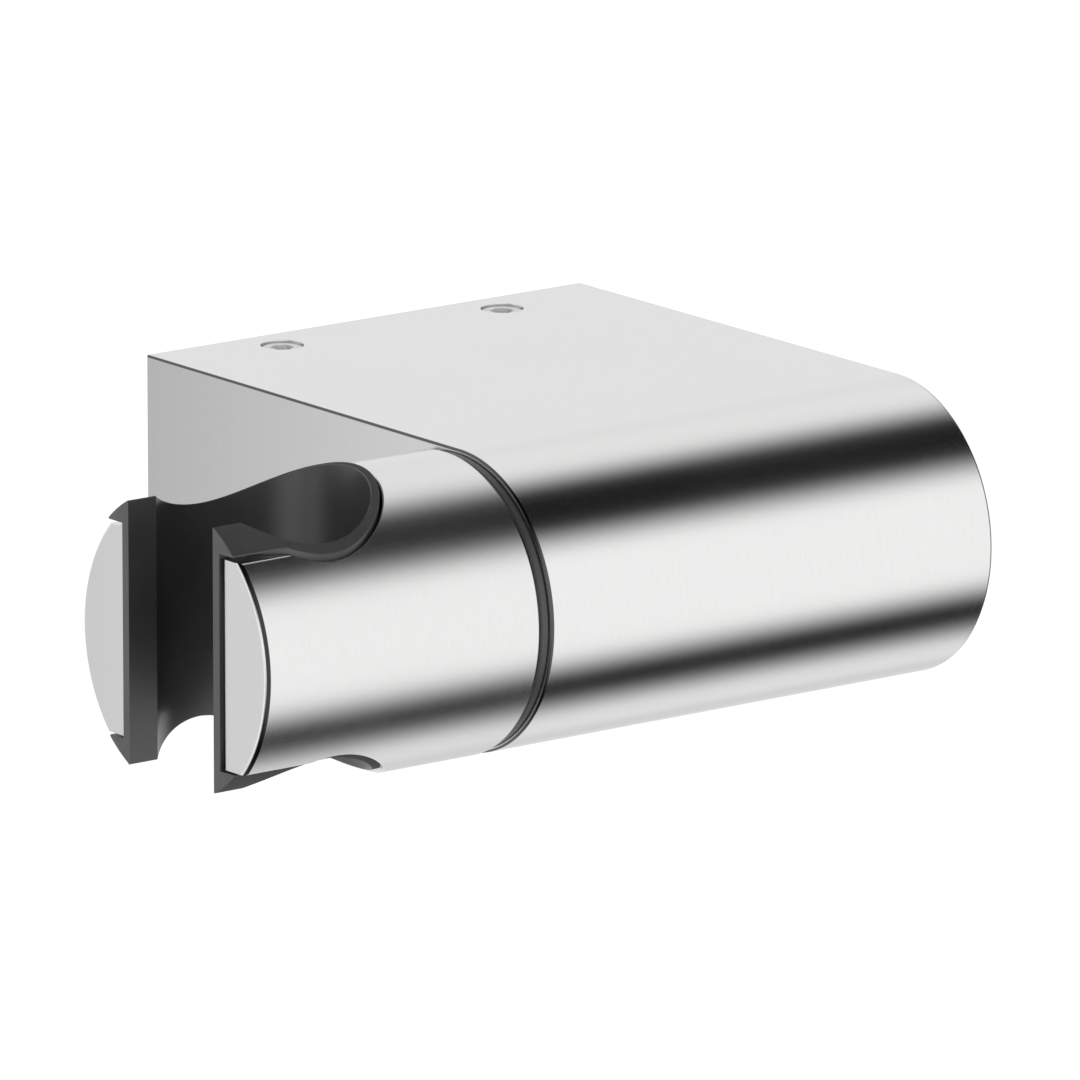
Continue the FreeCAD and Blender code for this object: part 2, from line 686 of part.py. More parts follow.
def make_swivel_body():
    """The round metal body on the nose axis, cut through for the socket and its slot."""
    body = pivot_body("swivel_body")
    face = new_sketch(body, "face", "YZ_Plane", swivel_end)
    circle(face, dim.nose_radius)
    length = swivel_start - swivel_end
    bar = extrude(body, "Pad", "bar", face, length)
    dress(
        body, "Chamfer", "end_edges", bar,
        lambda spot: near_either(spot.x, swivel_end, swivel_start),
        dim.swivel_chamfer,
    )
    through = (dim.nose_radius + dim.cut_margin) * 2
    hole = new_sketch(body, "hole", "XY_Plane")
    keyhole(hole, swivel_end - dim.cut_margin, socket_place, hole_half, hole_radius)
    extrude(body, "Pocket", "socket_hole", hole, through, "both")

    seat_half = dim.nose_radius + dim.cut_margin
    for name, seat_floor, way in (("top", top_seat, "forward"), ("bottom", low_seat, "back")):
        seat = new_sketch(body, f"{name}_seat", "XY_Plane", seat_floor)
        rectangle(seat, swivel_end - dim.cut_margin, socket_place, -seat_half, seat_half)
        seated = extrude(body, "Pocket", f"{name}_wing_seat", seat, dim.nose_radius, way)
    dress(body, "Chamfer", "cut_edges", seated, on_cut_edge, dim.cut_edge)

    counterbore = new_sketch(body, "counterbore", "YZ_Plane", head_seat)
    circle(counterbore, counterbore_radius)
    extrude(body, "Pocket", "counterbore", counterbore, head_seat - socket_place, "back")
    clearance = new_sketch(body, "clearance", "YZ_Plane", tongue_end + dim.cut_margin)
    circle(clearance, dim.pivot_screw_radius + dim.pivot_hole_gap)
    extrude(body, "Pocket", "clearance_hole", clearance, dim.swivel_web + dim.cut_margin * 2, "back")
    slot = new_sketch(body, "tongue_slot", "YZ_Plane", tongue_end)
    flatted_round(slot, bush_bore, tongue_half + dim.running_gap)
    extrude(body, "Pocket", "tongue_slot", slot, dim.tongue_length + dim.cut_margin)
    pin = new_sketch(body, "pin", "YZ_Plane", swivel_start - dim.stop_pin_hold)
    circle(pin, dim.stop_pin_radius, 0, -stop_pin_circle)
    extrude(body, "Pocket", "pin_hole", pin, dim.stop_pin_hold + dim.cut_margin)
    return body


def on_cut_edge(spot):
    """True where the socket's hole or a wing's seat meets the swivel's round."""
    on_round = near(math.hypot(spot.y, spot.z), dim.nose_radius)
    in_hole = near(math.hypot(spot.x - socket_place.value, spot.y), hole_radius)
    return on_round and (in_hole or near_either(spot.z, top_seat, low_seat))


def make_pivot_screw():
    """The M6 screw that draws the shaft's tongue into the swivel."""
    body = pivot_body("pivot_screw")
    half = new_sketch(body, "half_section", "XZ_Plane")
    shank = dim.pivot_screw_radius - dim.thread_gap
    tip = head_start + dim.pivot_screw_length
    polygon(half, [
        (head_end, 0), (tip, 0), (tip, shank - dim.edge_chamfer), (tip - dim.edge_chamfer, shank),
        (head_start, shank), (head_start, dim.pivot_head_radius),
        (head_end + dim.pivot_head_round, dim.pivot_head_radius),
        (head_end, dim.pivot_head_radius - dim.pivot_head_round),
    ])
    turn(body, "Revolution", "screw", half)
    socket = new_sketch(body, "hexagon", "YZ_Plane", head_end - dim.cut_margin)
    hexagon(socket, dim.pivot_hex)
    extrude(body, "Pocket", "hex_socket", socket, dim.pivot_hex_depth + dim.cut_margin)
    return body


def make_lock_washer():
    """The split spring washer under the pivot screw's head."""
    body = pivot_body("lock_washer")
    half = new_sketch(body, "half_section", "XZ_Plane")
    rectangle(
        half, head_start, head_seat,
        dim.pivot_screw_radius + dim.seat_gap, dim.pivot_head_radius,
    )
    turn(body, "Revolution", "washer", half, 360 - dim.lock_washer_split)
    return body


def make_socket_liner():
    """The plastic liner of the socket: its rims follow the swivel's round, its cheeks line
    the slot, its wings rest in the swivel's seats, and its plug hides the pivot screw."""
    body = pivot_body("socket_liner")
    body.setExpression("Placement.Base.z", dim.liner_lift.text)
    outline = new_sketch(body, "outline", "XY_Plane")
    keyhole(outline, liner_end, socket_place, cheek_half, liner_radius)
    height = (lip_radius + dim.cut_margin) * 2
    extrude(body, "Pad", "wall", outline, height, "both")
    wing_height = lip_radius + dim.cut_margin - wing_floor
    for side, name, way in ((1, "top", "forward"), (-1, "bottom", "back")):
        wing = new_sketch(body, f"{name}_wing", "XY_Plane", wing_floor * side)
        rectangle(wing, liner_end, socket_place, -wing_half, wing_half)
        extrude(body, "Pad", f"{name}_wing", wing, wing_height, way)
    plug = new_sketch(body, "plug", "YZ_Plane", socket_place, None, -dim.liner_lift)
    circle(plug, counterbore_radius - dim.seat_gap)
    extrude(body, "Pad", "plug", plug, head_end - dim.seat_gap - socket_place)

    waste = new_sketch(body, "waste", "XZ_Plane")
    rectangle(
        waste, liner_end - dim.cut_margin, swivel_start,
        lip_radius, lip_radius * 2,
    )
    turn(body, "Groove", "round_trim", waste)
    bore = new_sketch(body, "bore", "XY_Plane")
    keyhole(bore, liner_end - dim.cut_margin, socket_place, dim.slot_half, dim.socket_radius)
    opened = extrude(body, "Pocket", "socket_bore", bore, height + dim.cut_margin, "both")
    dress(
        body, "Chamfer", "bore_rims", opened,
        lambda spot: near(math.hypot(spot.x - socket_place.value, spot.y), dim.socket_radius)
        and near(math.hypot(spot.y, spot.z), lip_radius),
        dim.rim_chamfer,
    )
    return body


def make_parts():
    """Builds every sub-part and returns them in the order in which they are put together."""
    spring_middle = spring_start + spring_stack / 2
    return [
        make_housing(),
        make_wall_plate(),
        make_set_screw("set_screw_left", -1),
        make_set_screw("set_screw_right", 1),
        make_bearing_bush(),
        make_spacer_ring(),
        make_thrust_washer(),
        make_disc_spring("disc_spring_outer", spring_start, spring_middle),
        make_disc_spring("disc_spring_inner", collar_start, spring_middle),
        make_pivot_shaft(),
        make_shaft_o_ring(),
        make_stop_pin(),
        make_swivel_body(),
        make_lock_washer(),
        make_pivot_screw(),
        make_socket_liner(),
    ]


def check_document():
    """Stops if an object failed, or if a cut took nothing away."""
    for item in doc.Objects:
        if "Invalid" in item.State or "Error" in item.State:
            raise RuntimeError(f"{item.Name} failed: {item.State}")
        if item.TypeId in ("PartDesign::Pocket", "PartDesign::Groove"):
            if item.Shape.Volume >= item.BaseFeature.Shape.Volume:
                raise RuntimeError(f"{item.Name} cuts nothing")
        if item.TypeId == "Sketcher::SketchObject" and not item.FullyConstrained:
            raise RuntimeError(f"{item.Name} isn't fully constrained")


def write_parts(parts):
    """Checks each sub-part's shape and writes it to its own STEP file."""
    os.makedirs("parts", exist_ok=True)
    for part in parts:
        shape = part.Shape
        if shape.isNull() or not shape.isValid() or len(shape.Solids) != 1:
            raise RuntimeError(f"{part.Label}: the shape isn't one valid solid")
        shape.exportStep(f"parts/{part.Label}.step")
        box = shape.BoundBox
        print(
            f"{part.Label}: {shape.Volume:.1f} mm3, X {box.XMin:.2f} to {box.XMax:.2f}, "
            f"Y {box.YMin:.2f} to {box.YMax:.2f}, Z {box.ZMin:.2f} to {box.ZMax:.2f}"
        )


sub_parts = make_parts()
doc.recompute()
check_document()
write_parts(sub_parts)
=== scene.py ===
"""Looks of the hand shower holder: its visible pieces, their finishes, and the studio."""

import logging
import math
from dataclasses import dataclass
from enum import Enum
from typing import Callable, Iterable, Protocol, Sequence

import bmesh
import bpy
from mathutils import Matrix, Vector

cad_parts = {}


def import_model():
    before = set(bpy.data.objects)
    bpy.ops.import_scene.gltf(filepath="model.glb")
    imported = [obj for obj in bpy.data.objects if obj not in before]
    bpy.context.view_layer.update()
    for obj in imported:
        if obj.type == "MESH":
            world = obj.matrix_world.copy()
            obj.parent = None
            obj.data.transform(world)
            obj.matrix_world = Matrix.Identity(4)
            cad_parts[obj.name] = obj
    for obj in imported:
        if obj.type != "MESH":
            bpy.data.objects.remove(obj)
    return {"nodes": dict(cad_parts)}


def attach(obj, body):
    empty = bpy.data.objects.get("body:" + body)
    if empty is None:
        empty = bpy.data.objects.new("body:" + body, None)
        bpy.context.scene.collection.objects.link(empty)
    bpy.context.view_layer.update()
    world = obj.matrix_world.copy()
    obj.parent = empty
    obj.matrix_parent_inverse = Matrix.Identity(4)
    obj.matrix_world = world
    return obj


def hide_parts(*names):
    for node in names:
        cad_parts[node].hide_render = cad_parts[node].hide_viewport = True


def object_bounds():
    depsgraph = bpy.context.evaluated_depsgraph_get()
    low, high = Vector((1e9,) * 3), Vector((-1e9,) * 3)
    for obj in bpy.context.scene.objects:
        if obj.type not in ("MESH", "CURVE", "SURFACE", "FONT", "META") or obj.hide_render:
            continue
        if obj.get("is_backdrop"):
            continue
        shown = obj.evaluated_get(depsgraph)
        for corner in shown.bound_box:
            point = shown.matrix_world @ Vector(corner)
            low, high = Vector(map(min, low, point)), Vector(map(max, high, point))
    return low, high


LOG = logging.getLogger("holder")

Point = tuple[float, float, float]
Mesh = bmesh.types.BMesh
Edge = bmesh.types.BMEdge
Vert = bmesh.types.BMVert
Item = bpy.types.Object
Material = bpy.types.Material
Node = bpy.types.Node
Output = bpy.types.NodeSocket
EdgeTest = Callable[[Vector, Vector], bool]

MILLIMETRE = 0.001
ALONG_X: Point = (1.0, 0.0, 0.0)
ALONG_Y: Point = (0.0, 1.0, 0.0)
UPRIGHT: Point = (0.0, 0.0, 1.0)
WHITE = (1.0, 1.0, 1.0, 1.0)

# Millimetres.
MERGE = 1e-4  # Two vertices this close become one.
TOUCH = 1e-3  # Two places this close are the same.
NEAR = 0.01  # A corner this close to a round lies on it.
PAST = 1.0  # How far a cutter runs past the face that it cuts.
BEYOND = 20.0  # From the pivot axis, outside every piece.

# Degrees.
WHOLE_TURN = 360.0
BEVELLED_EDGE = 25.0  # The least angle of an edge that can be bevelled.
SHARP_EDGE = 28.0  # The least angle of an edge that is shaded sharp.

# Faces round a bar.
HEXAGON, COARSE_ROUND, ROUND, FINE_ROUND = 6, 64, 96, 128

# The values of a noise that a finish makes use of.
NOISE_WIDE, NOISE_MIDDLE, NOISE_NARROW, NOISE_HIGH = (0.2, 0.8), (0.25, 0.75), (0.3, 0.7), (0.35, 0.75)


class Join(Enum):
    """How one solid is put together with another."""

    ADD = "UNION"
    CUT = "DIFFERENCE"


class Blend(Enum):
    """What a Mix node mixes: its data type, and the first of its two inputs."""

    NUMBER = ("FLOAT", 2)
    VECTOR = ("VECTOR", 4)
    COLOR = ("RGBA", 6)


def same(first: float, second: float) -> bool:
    """Whether two lengths in millimetres are the same."""
    return abs(first - second) < TOUCH


def verts_in(made: Iterable[object]) -> list[Vert]:
    """The vertices among what an operator made."""
    return [item for item in made if isinstance(item, Vert)]


def turn_outwards(mesh: Mesh) -> None:
    """Turns every face of a mesh outwards."""
    bmesh.ops.recalc_face_normals(mesh, faces=mesh.faces[:])


def close_holes(mesh: Mesh) -> None:
    """Fills what is open and turns every face outwards.

    Args:
        mesh: The mesh to close.
    """
    wires = [edge for edge in mesh.edges if edge.is_wire]
    bmesh.ops.delete(mesh, geom=wires, context="EDGES")
    borders = [edge for edge in mesh.edges if edge.is_boundary]
    if borders:
        bmesh.ops.holes_fill(mesh, edges=borders, sides=0)
    turn_outwards(mesh)


def thicken(mesh: Mesh, height: Callable[[Vector, bool], float]) -> Mesh:
    """Makes a solid of a flat mesh.

    Args:
        mesh: The flat mesh.
        height: Takes a place and whether it is on the far side, and gives its height.

    Returns:
        The same mesh, closed.
    """
    grown = bmesh.ops.extrude_face_region(mesh, geom=mesh.faces[:])
    far = set(verts_in(grown["geom"]))
    for vert in mesh.verts:
        vert.co.z = height(vert.co, vert in far)
    turn_outwards(mesh)
    return mesh


def soften(mesh: Mesh, chosen: EdgeTest, size: float, segments: int) -> None:
    """Bevels the sharp edges whose two ends pass a test.

    Args:
        mesh: The mesh, in millimetres.
        chosen: Takes an edge's two ends and says whether it is bevelled.
        size: The bevel's width.
        segments: Its number of segments. 1 is a chamfer.
    """
    edges = [
        edge for edge in mesh.edges
        if len(edge.link_faces) == 2
        and edge.calc_face_angle(0.0) > math.radians(BEVELLED_EDGE)
        and chosen(edge.verts[0].co, edge.verts[1].co)
    ]
    bmesh.ops.bevel(
        mesh, geom=edges, offset=size, offset_type="OFFSET", segments=segments, profile=0.5,
        affect="EDGES", material=-1, clamp_overlap=False,
    )


def edge_along_x(y: float) -> EdgeTest:
    """A test for an edge along X in the plane at y."""
    return lambda one, two: same(one.y, y) and same(two.y, y) and same(one.z, two.z)


def cylinder(start: Point, axis: Point, radius: float, length: float, steps: int) -> Mesh:
    """Makes a round bar.

    Args:
        start: Centre of its first end.
        axis: Unit direction that it runs in.
        radius: Its radius.
        length: Its length.
        steps: Number of faces round it.

    Returns:
        The closed mesh.
    """
    mesh = bmesh.new()
    turn = Vector(UPRIGHT).rotation_difference(Vector(axis)).to_matrix().to_4x4()
    middle = Vector(start) + Vector(axis) * length / 2
    bmesh.ops.create_cone(
        mesh, cap_ends=True, segments=steps, radius1=radius, radius2=radius, depth=length,
        matrix=Matrix.Translation(middle) @ turn,
    )
    return mesh


def new_item(name: str, mesh: Mesh) -> Item:
    """Makes an object of a mesh and links it to the scene.

    Args:
        name: Its name.
        mesh: The mesh. It is freed.

    Returns:
        The object.
    """
    data = bpy.data.meshes.new(name)
    mesh.to_mesh(data)
    mesh.free()
    item = bpy.data.objects.new(name, data)
    bpy.context.scene.collection.objects.link(item)
    return item


class Outline:
    """A flat outline in millimetres, grown from one vertex by straight runs and sweeps."""

    def __init__(self, start: Point, mesh: Mesh | None = None) -> None:
        """Starts the outline.

        Args:
            start: The first corner.
            mesh: The mesh that it grows in. None makes a new one.
        """
        self.mesh = mesh or bmesh.new()
        self.first = self.mesh.verts.new(start)
        self.tip = self.first
        self.edges: list[Edge] = []

    def run(self, *corners: Point) -> "Outline":
        """Adds straight runs.

        Args:
            corners: The corners that the outline goes through next.

        Returns:
            The outline itself.
        """
        for corner in corners:
            grown = bmesh.ops.extrude_vert_indiv(self.mesh, verts=[self.tip])
            self.tip = grown["verts"][0]
            self.tip.co = corner
            self.edges.append(grown["edges"][0])
        return self

    def sweep(self, centre: Point, axis: Point, degrees: float, steps: int) -> "Outline":
        """Adds an arc.

        Args:
            centre: The arc's centre.
            axis: The direction that the arc turns about.
            degrees: How far it turns, by the right-hand rule.
            steps: Number of edges.

        Returns:
            The outline itself.
        """
        turn = Matrix.Rotation(math.radians(degrees) / steps, 4, Vector(axis))
        for _ in range(steps):
            self.run(tuple(Vector(centre) + turn @ (self.tip.co - Vector(centre))))
        return self

    def extrude(self, along: Point) -> Mesh:
        """Closes the outline and pushes it out to a solid.

        Args:
            along: The way and the length of the push.

        Returns:
            The closed mesh.
        """
        bmesh.ops.contextual_create(self.mesh, geom=[self.tip, self.first])
        bmesh.ops.edgeloop_fill(self.mesh, edges=self.mesh.edges[:])
        grown = bmesh.ops.extrude_face_region(self.mesh, geom=self.mesh.faces[:])
        bmesh.ops.translate(self.mesh, vec=along, verts=verts_in(grown["geom"]))
        close_holes(self.mesh)
        return self.mesh

    def revolve(self, centre: Point, axis: Point, degrees: float, steps: int) -> Mesh:
        """Closes the outline and turns it round to a solid.

        Args:
            centre: A point on the axis.
            axis: The axis's direction.
            degrees: How far it turns. A whole turn closes on itself.
            steps: Number of steps round.

        Returns:
            The closed mesh.
        """
        bmesh.ops.contextual_create(self.mesh, geom=[self.tip, self.first])
        whole = degrees >= WHOLE_TURN
        if not whole:
            bmesh.ops.edgeloop_fill(self.mesh, edges=self.mesh.edges[:])
        bmesh.ops.spin(
            self.mesh, geom=self.mesh.verts[:] + self.mesh.edges[:] + self.mesh.faces[:],
            cent=centre, axis=axis, dvec=(0.0, 0.0, 0.0), angle=math.radians(degrees),
            steps=steps, use_merge=whole, use_duplicate=False,
        )
        bmesh.ops.remove_doubles(self.mesh, verts=self.mesh.verts[:], dist=MERGE)
        close_holes(self.mesh)
        return self.mesh


class Form:
    """A closed solid in millimetres that other solids are added to or cut from."""

    def __init__(self, name: str, mesh: Mesh) -> None:
        """Takes a mesh over, which is freed, under the piece's name."""
        self.item = new_item(name, mesh)

    def join(self, how: Join, mesh: Mesh) -> "Form":
        """Adds another solid or cuts with it.

        Args:
            how: Which of the two.
            mesh: The other solid. It is freed.

        Returns:
            The form itself.
        """
        tool = new_item("tool", mesh)
        step = self.item.modifiers.new("join", "BOOLEAN")
        step.operation = how.value
        step.solver = "EXACT"
        step.object = tool
        bpy.context.view_layer.update()
        made = bpy.data.meshes.new_from_object(
            self.item.evaluated_get(bpy.context.evaluated_depsgraph_get())
        )
        self.item.modifiers.clear()
        old = self.item.data
        self.item.data = made
        bpy.data.meshes.remove(old)
        bpy.data.meshes.remove(tool.data)
        return self

    def reshape(self, work: Callable[[Mesh], None]) -> "Form":
        """Changes the mesh with bmesh operators.

        Args:
            work: Takes the mesh, in millimetres.

        Returns:
            The form itself.
        """
        mesh = bmesh.new()
        mesh.from_mesh(self.item.data)
        work(mesh)
        mesh.to_mesh(self.item.data)
        mesh.free()
        return self

    def finish(self, body: str, node: str, slot: str, coat: Material) -> None:
        """Scales the mesh to metres, shades it, and puts it in its place in the frame.

        Args:
            body: The body that the piece rides on.
            node: The node that it stands for.
            slot: The record's material slot. Not used.
            coat: Its material.
        """
        self.reshape(self._settle)
        data = self.item.data
        data.name = self.item.name
        data.materials.clear()
        data.materials.append(coat)
        data.shade_smooth()
        data.set_sharp_from_angle(angle=math.radians(SHARP_EDGE))
        level = self.item.modifiers.new("level_flats", "WEIGHTED_NORMAL")
        level.keep_sharp = True
        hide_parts(node)
        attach(self.item, body)
        LOG.info("%s: %d faces", self.item.name, len(data.polygons))

    @staticmethod
    def _settle(mesh: Mesh) -> None:
        """Merges doubles, turns faces outwards and scales to metres.

        Args:
            mesh: The mesh, in millimetres.
        """
        bmesh.ops.remove_doubles(mesh, verts=mesh.verts[:], dist=MERGE)
        turn_outwards(mesh)
        bmesh.ops.scale(mesh, vec=(MILLIMETRE,) * 3, verts=mesh.verts[:])


@dataclass(frozen=True)
class Pivot:
    """The axis that the swivel turns about, and what is round it. Millimetres.

    Places along the axis are counted from the housing's left face, towards +X.
    """

    axis_y: float = -60.0
    left_face: float = -31.75
    nose_radius: float = 17.5
    round_steps: int = 360

    def ring(self, section: Sequence[tuple[float, float]], degrees: float = WHOLE_TURN,
             start_degrees: float = 0.0) -> Mesh:
        """Turns a half section round the axis.

        Args:
            section: Corners as (place along the axis, radius).
            degrees: How far it turns.
            start_degrees: Where it starts, from straight down.

        Returns:
            The closed mesh.
        """
        start = math.radians(start_degrees)
        first, *others = (
            (self.left_face + along, self.axis_y + radius * math.sin(start), -radius * math.cos(start))
            for along, radius in section
        )
        steps = max(2, round(self.round_steps * degrees / WHOLE_TURN))
        centre = (self.left_face, self.axis_y, 0.0)
        return Outline(first).run(*others).revolve(centre, ALONG_X, degrees, steps)

    def band(self, low: float, high: float, inner: float, outer: float, *turn: float) -> Mesh:
        """A ring from one place along the axis to another, and from one radius to another."""
        return self.ring(((low, inner), (high, inner), (high, outer), (low, outer)), *turn)

    def stepped(self, low: float, step: float, high: float, low_radius: float, high_radius: float) -> Mesh:
        """A bar on the axis that changes its radius at a step."""
        return self.ring(((low, 0.0), (high, 0.0), (high, high_radius), (step, high_radius),
                          (step, low_radius), (low, low_radius)))


class NodeTree:
    """Builds a node tree by short calls. An input takes an output socket or a plain value."""

    def __init__(self, tree: bpy.types.NodeTree) -> None:
        """Takes the tree to add nodes to."""
        self.tree = tree

    def put(self, socket: Output, value: object) -> None:
        """Links an input to an output or sets its value.

        Args:
            socket: The input.
            value: An output socket, or a plain value.
        """
        if isinstance(value, Output):
            self.tree.links.new(value, socket)
        else:
            socket.default_value = value

    def add(self, kind: str, *given: object, **values: object) -> Node:
        """Adds a node.

        Args:
            kind: The node's type, such as ShaderNodeMath.
            given: What its first inputs take.
            values: Its properties.

        Returns:
            The node.
        """
        node = self.tree.nodes.new(kind)
        for name, value in values.items():
            setattr(node, name, value)
        for socket, value in zip(node.inputs, given):
            self.put(socket, value)
        return node

    def fill(self, node: Node, **values: object) -> Node:
        """Fills a node's inputs by their names.

        Args:
            node: The node.
            values: Its inputs, with _ for a space.

        Returns:
            The node.
        """
        for name, value in values.items():
            self.put(node.inputs[name.replace("_", " ")], value)
        return node

    def math(self, operation: str, first: object, second: object = 0.0) -> Output:
        """Adds a Math node."""
        return self.add("ShaderNodeMath", first, second, operation=operation).outputs[0]

    def vector(self, operation: str, *given: object) -> Output:
        """Adds a Vector Math node that gives a vector."""
        return self.add("ShaderNodeVectorMath", *given, operation=operation).outputs["Vector"]

    def dot(self, first: object, second: object) -> Output:
        """Multiplies two vectors to a number."""
        return self.add("ShaderNodeVectorMath", first, second, operation="DOT_PRODUCT").outputs["Value"]

    def stretch(self, place: object, *factors: object) -> Output:
        """Multiplies a place by a factor for each of X, Y and Z."""
        return self.vector("MULTIPLY", place, self.add("ShaderNodeCombineXYZ", *factors).outputs[0])

    def span(self, value: object, low: object, high: object, out_low: float = 0.0,
             out_high: float = 1.0, smooth: bool = True) -> Output:
        """Adds a Map Range node.

        Args:
            value: The input.
            low: Input that gives out_low.
            high: Input that gives out_high.
            out_low: Output at low.
            out_high: Output at high.
            smooth: Whether the change is eased at both ends.

        Returns:
            Its output.
        """
        ease = "SMOOTHSTEP" if smooth else "LINEAR"
        return self.add(
            "ShaderNodeMapRange", value, low, high, out_low, out_high, clamp=True, interpolation_type=ease,
        ).outputs[0]

    def mix(self, what: Blend, share: object, first: object, second: object) -> Output:
        """Adds a Mix node.

        Args:
            what: What it mixes.
            share: 0 for the first, 1 for the second.
            first: What it takes first.
            second: What it takes second.

        Returns:
            Its output.
        """
        kind, index = what.value
        node = self.add("ShaderNodeMix", share, data_type=kind)
        self.put(node.inputs[index], first)
        self.put(node.inputs[index + 1], second)
        return node.outputs[index // 2 - 1]

    def noise(self, place: object, scale: object, detail: float = 2.0, roughness: float = 0.5) -> Output:
        """Adds a Noise Texture, whose factor is about 0.5 on average."""
        node = self.add("ShaderNodeTexNoise")
        return self.fill(node, Vector=place, Scale=scale, Detail=detail, Roughness=roughness).outputs[0]


class GroupKit:
    """The shader node groups that the finishes share, each built once. Metres."""

    VECTORS = ("Place", "Facing")
    END_REACH = (0.0008, 0.0009)  # How far from an end's plane its masks reach.
    END_GRAIN = 0.72  # A face's share along X from which its grain runs up and down.
    END_FACE = (0.9, 0.99)  # The share along X over which a face becomes an end.
    # The rounded edges by the ends get painted shade between these shares, standing in for the dark
    # reflection that a chamfer shows.
    EDGE_START = (0.04, 0.18)  # The share along X over which a rounded edge starts.
    EDGE_EASE = 0.06  # Half the share over which it stops.
    PAINTED_WALL_SHADE_SPAN = (-0.055, 0.0)  # Along Y, from the nose to the wall, over which painted shade darkens the end faces.
    LATHE_DRIFT = 60.0  # The scale of the rings' changes across the axis.
    OUTWARD = (0.6, 0.85)  # The share over which a face comes to look off the pivot.

    def __init__(self) -> None:
        """Builds the three groups."""
        self.brushed = self._brushed_lines()
        self.turned = self._turned_lines()
        self.moulded = self._moulded_skin()

    def _group(self, name: str, inputs: Sequence[str],
               outputs: Sequence[str]) -> tuple[NodeTree, bpy.types.NodeOutputs, Node]:
        """Makes an empty group.

        Args:
            name: Its name.
            inputs: Names of its inputs.
            outputs: Names of its outputs, all of them numbers.

        Returns:
            The tree, what its input node gives, and its output node.
        """
        tree = bpy.data.node_groups.new(name, "ShaderNodeTree")
        for way, labels in (("INPUT", inputs), ("OUTPUT", outputs)):
            for label in labels:
                kind = "NodeSocketVector" if label in self.VECTORS else "NodeSocketFloat"
                tree.interface.new_socket(label, in_out=way, socket_type=kind)
        kit = NodeTree(tree)
        return kit, kit.add("NodeGroupInput").outputs, kit.add("NodeGroupOutput")

    def _brushed_lines(self) -> bpy.types.NodeTree:
        """Grain that runs round the pivot axis, and up and down on the faces at its ends, with the masks
        for painted shade on the rounded edges by the ends and on the end faces towards the wall.

        Returns:
            The group.
        """
        kit, given, made = self._group(
            "brushed_lines", ("Place", "Facing", "Across", "Along", "Rounding", "Left End", "Right End"),
            ("Lines", "Tone", "Edge", "End", "Wallward"),
        )
        place, across, along, limit = (given[label] for label in ("Place", "Across", "Along", "Rounding"))
        x, y, _ = kit.add("ShaderNodeSeparateXYZ", place).outputs
        left, right = (
            kit.math("ABSOLUTE", kit.math("SUBTRACT", x, given[label]))
            for label in ("Left End", "Right End")
        )
        near = kit.span(kit.math("MINIMUM", left, right), *self.END_REACH, 1.0, 0.0)
        endwise = kit.math("ABSOLUTE", kit.add("ShaderNodeSeparateXYZ", given["Facing"]).outputs[0])
        stop = (kit.math(way, limit, self.EDGE_EASE) for way in ("SUBTRACT", "ADD"))
        # Where the rounded edges by the ends get their painted shade.
        rounded = kit.math(
            "MULTIPLY", kit.span(endwise, *self.EDGE_START), kit.span(endwise, *stop, 1.0, 0.0),
        )
        grain = kit.mix(
            Blend.VECTOR, kit.math("GREATER_THAN", endwise, self.END_GRAIN),
            kit.stretch(place, across, along, along), kit.stretch(place, along, across, along),
        )
        kit.fill(
            made,
            Lines=kit.noise(grain, scale=1.0, detail=4.0, roughness=0.6),
            Tone=kit.noise(place, scale=45.0),
            Edge=kit.math("MULTIPLY", near, rounded),
            End=kit.math("MULTIPLY", near, kit.span(endwise, *self.END_FACE)),
            Wallward=kit.span(y, *self.PAINTED_WALL_SHADE_SPAN, smooth=False),
        )
        return kit.tree

    def _turned_lines(self) -> bpy.types.NodeTree:
        """Fine rings left by a lathe, along the pivot axis.

        Returns:
            The group.
        """
        kit, given, made = self._group("turned_lines", ("Place", "Pitch"), ("Lines",))
        rings = kit.stretch(given["Place"], given["Pitch"], self.LATHE_DRIFT, self.LATHE_DRIFT)
        kit.fill(made, Lines=kit.noise(rings, scale=1.0))
        return kit.tree

    def _moulded_skin(self) -> bpy.types.NodeTree:
        """The fine skin of a moulded piece, slow changes of tone, and where it faces off the pivot.

        Returns:
            The group.
        """
        kit, given, made = self._group(
            "moulded_skin", ("Place", "Facing", "Fineness"), ("Skin", "Tone", "Outward"),
        )
        place = given["Place"]
        to_axis = (0.0, -Pivot.axis_y * MILLIMETRE, 0.0)
        arm = kit.vector("MULTIPLY_ADD", place, (0.0, 1.0, 1.0), to_axis)
        kit.fill(
            made,
            Skin=kit.noise(place, given["Fineness"]),
            Tone=kit.noise(place, scale=90.0, detail=3.0, roughness=0.6),
            Outward=kit.span(kit.dot(kit.vector("NORMALIZE", arm), given["Facing"]), *self.OUTWARD),
        )
        return kit.tree


class Finish(NodeTree):
    """What every finish shares: a material with one Principled shader and object coordinates."""

    def __init__(self, name: str) -> None:
        """Starts the material.

        Args:
            name: Its name.
        """
        self.material = bpy.data.materials.new(name)
        self.material.use_nodes = True
        super().__init__(self.material.node_tree)
        self.shader = self.tree.nodes["Principled BSDF"]
        coordinates = self.add("ShaderNodeTexCoord").outputs
        self.place, self.facing = coordinates["Object"], coordinates["Normal"]

    def set(self, **values: object) -> None:
        """Fills the shader's inputs by their names, with _ for a space."""
        self.fill(self.shader, **values)

    def group(self, tree: bpy.types.NodeTree, **values: object) -> bpy.types.NodeOutputs:
        """Places a node group, fills its inputs by their names, and gives its outputs."""
        return self.fill(self.add("ShaderNodeGroup", node_tree=tree), **values).outputs

    def bump(self, height: Output, depth: float) -> None:
        """Gives the surface a relief with heights from 0 to 1 and a depth in metres."""
        bump = self.add("ShaderNodeBump")
        self.set(Normal=self.fill(bump, Strength=1.0, Distance=depth, Height=height).outputs[0])


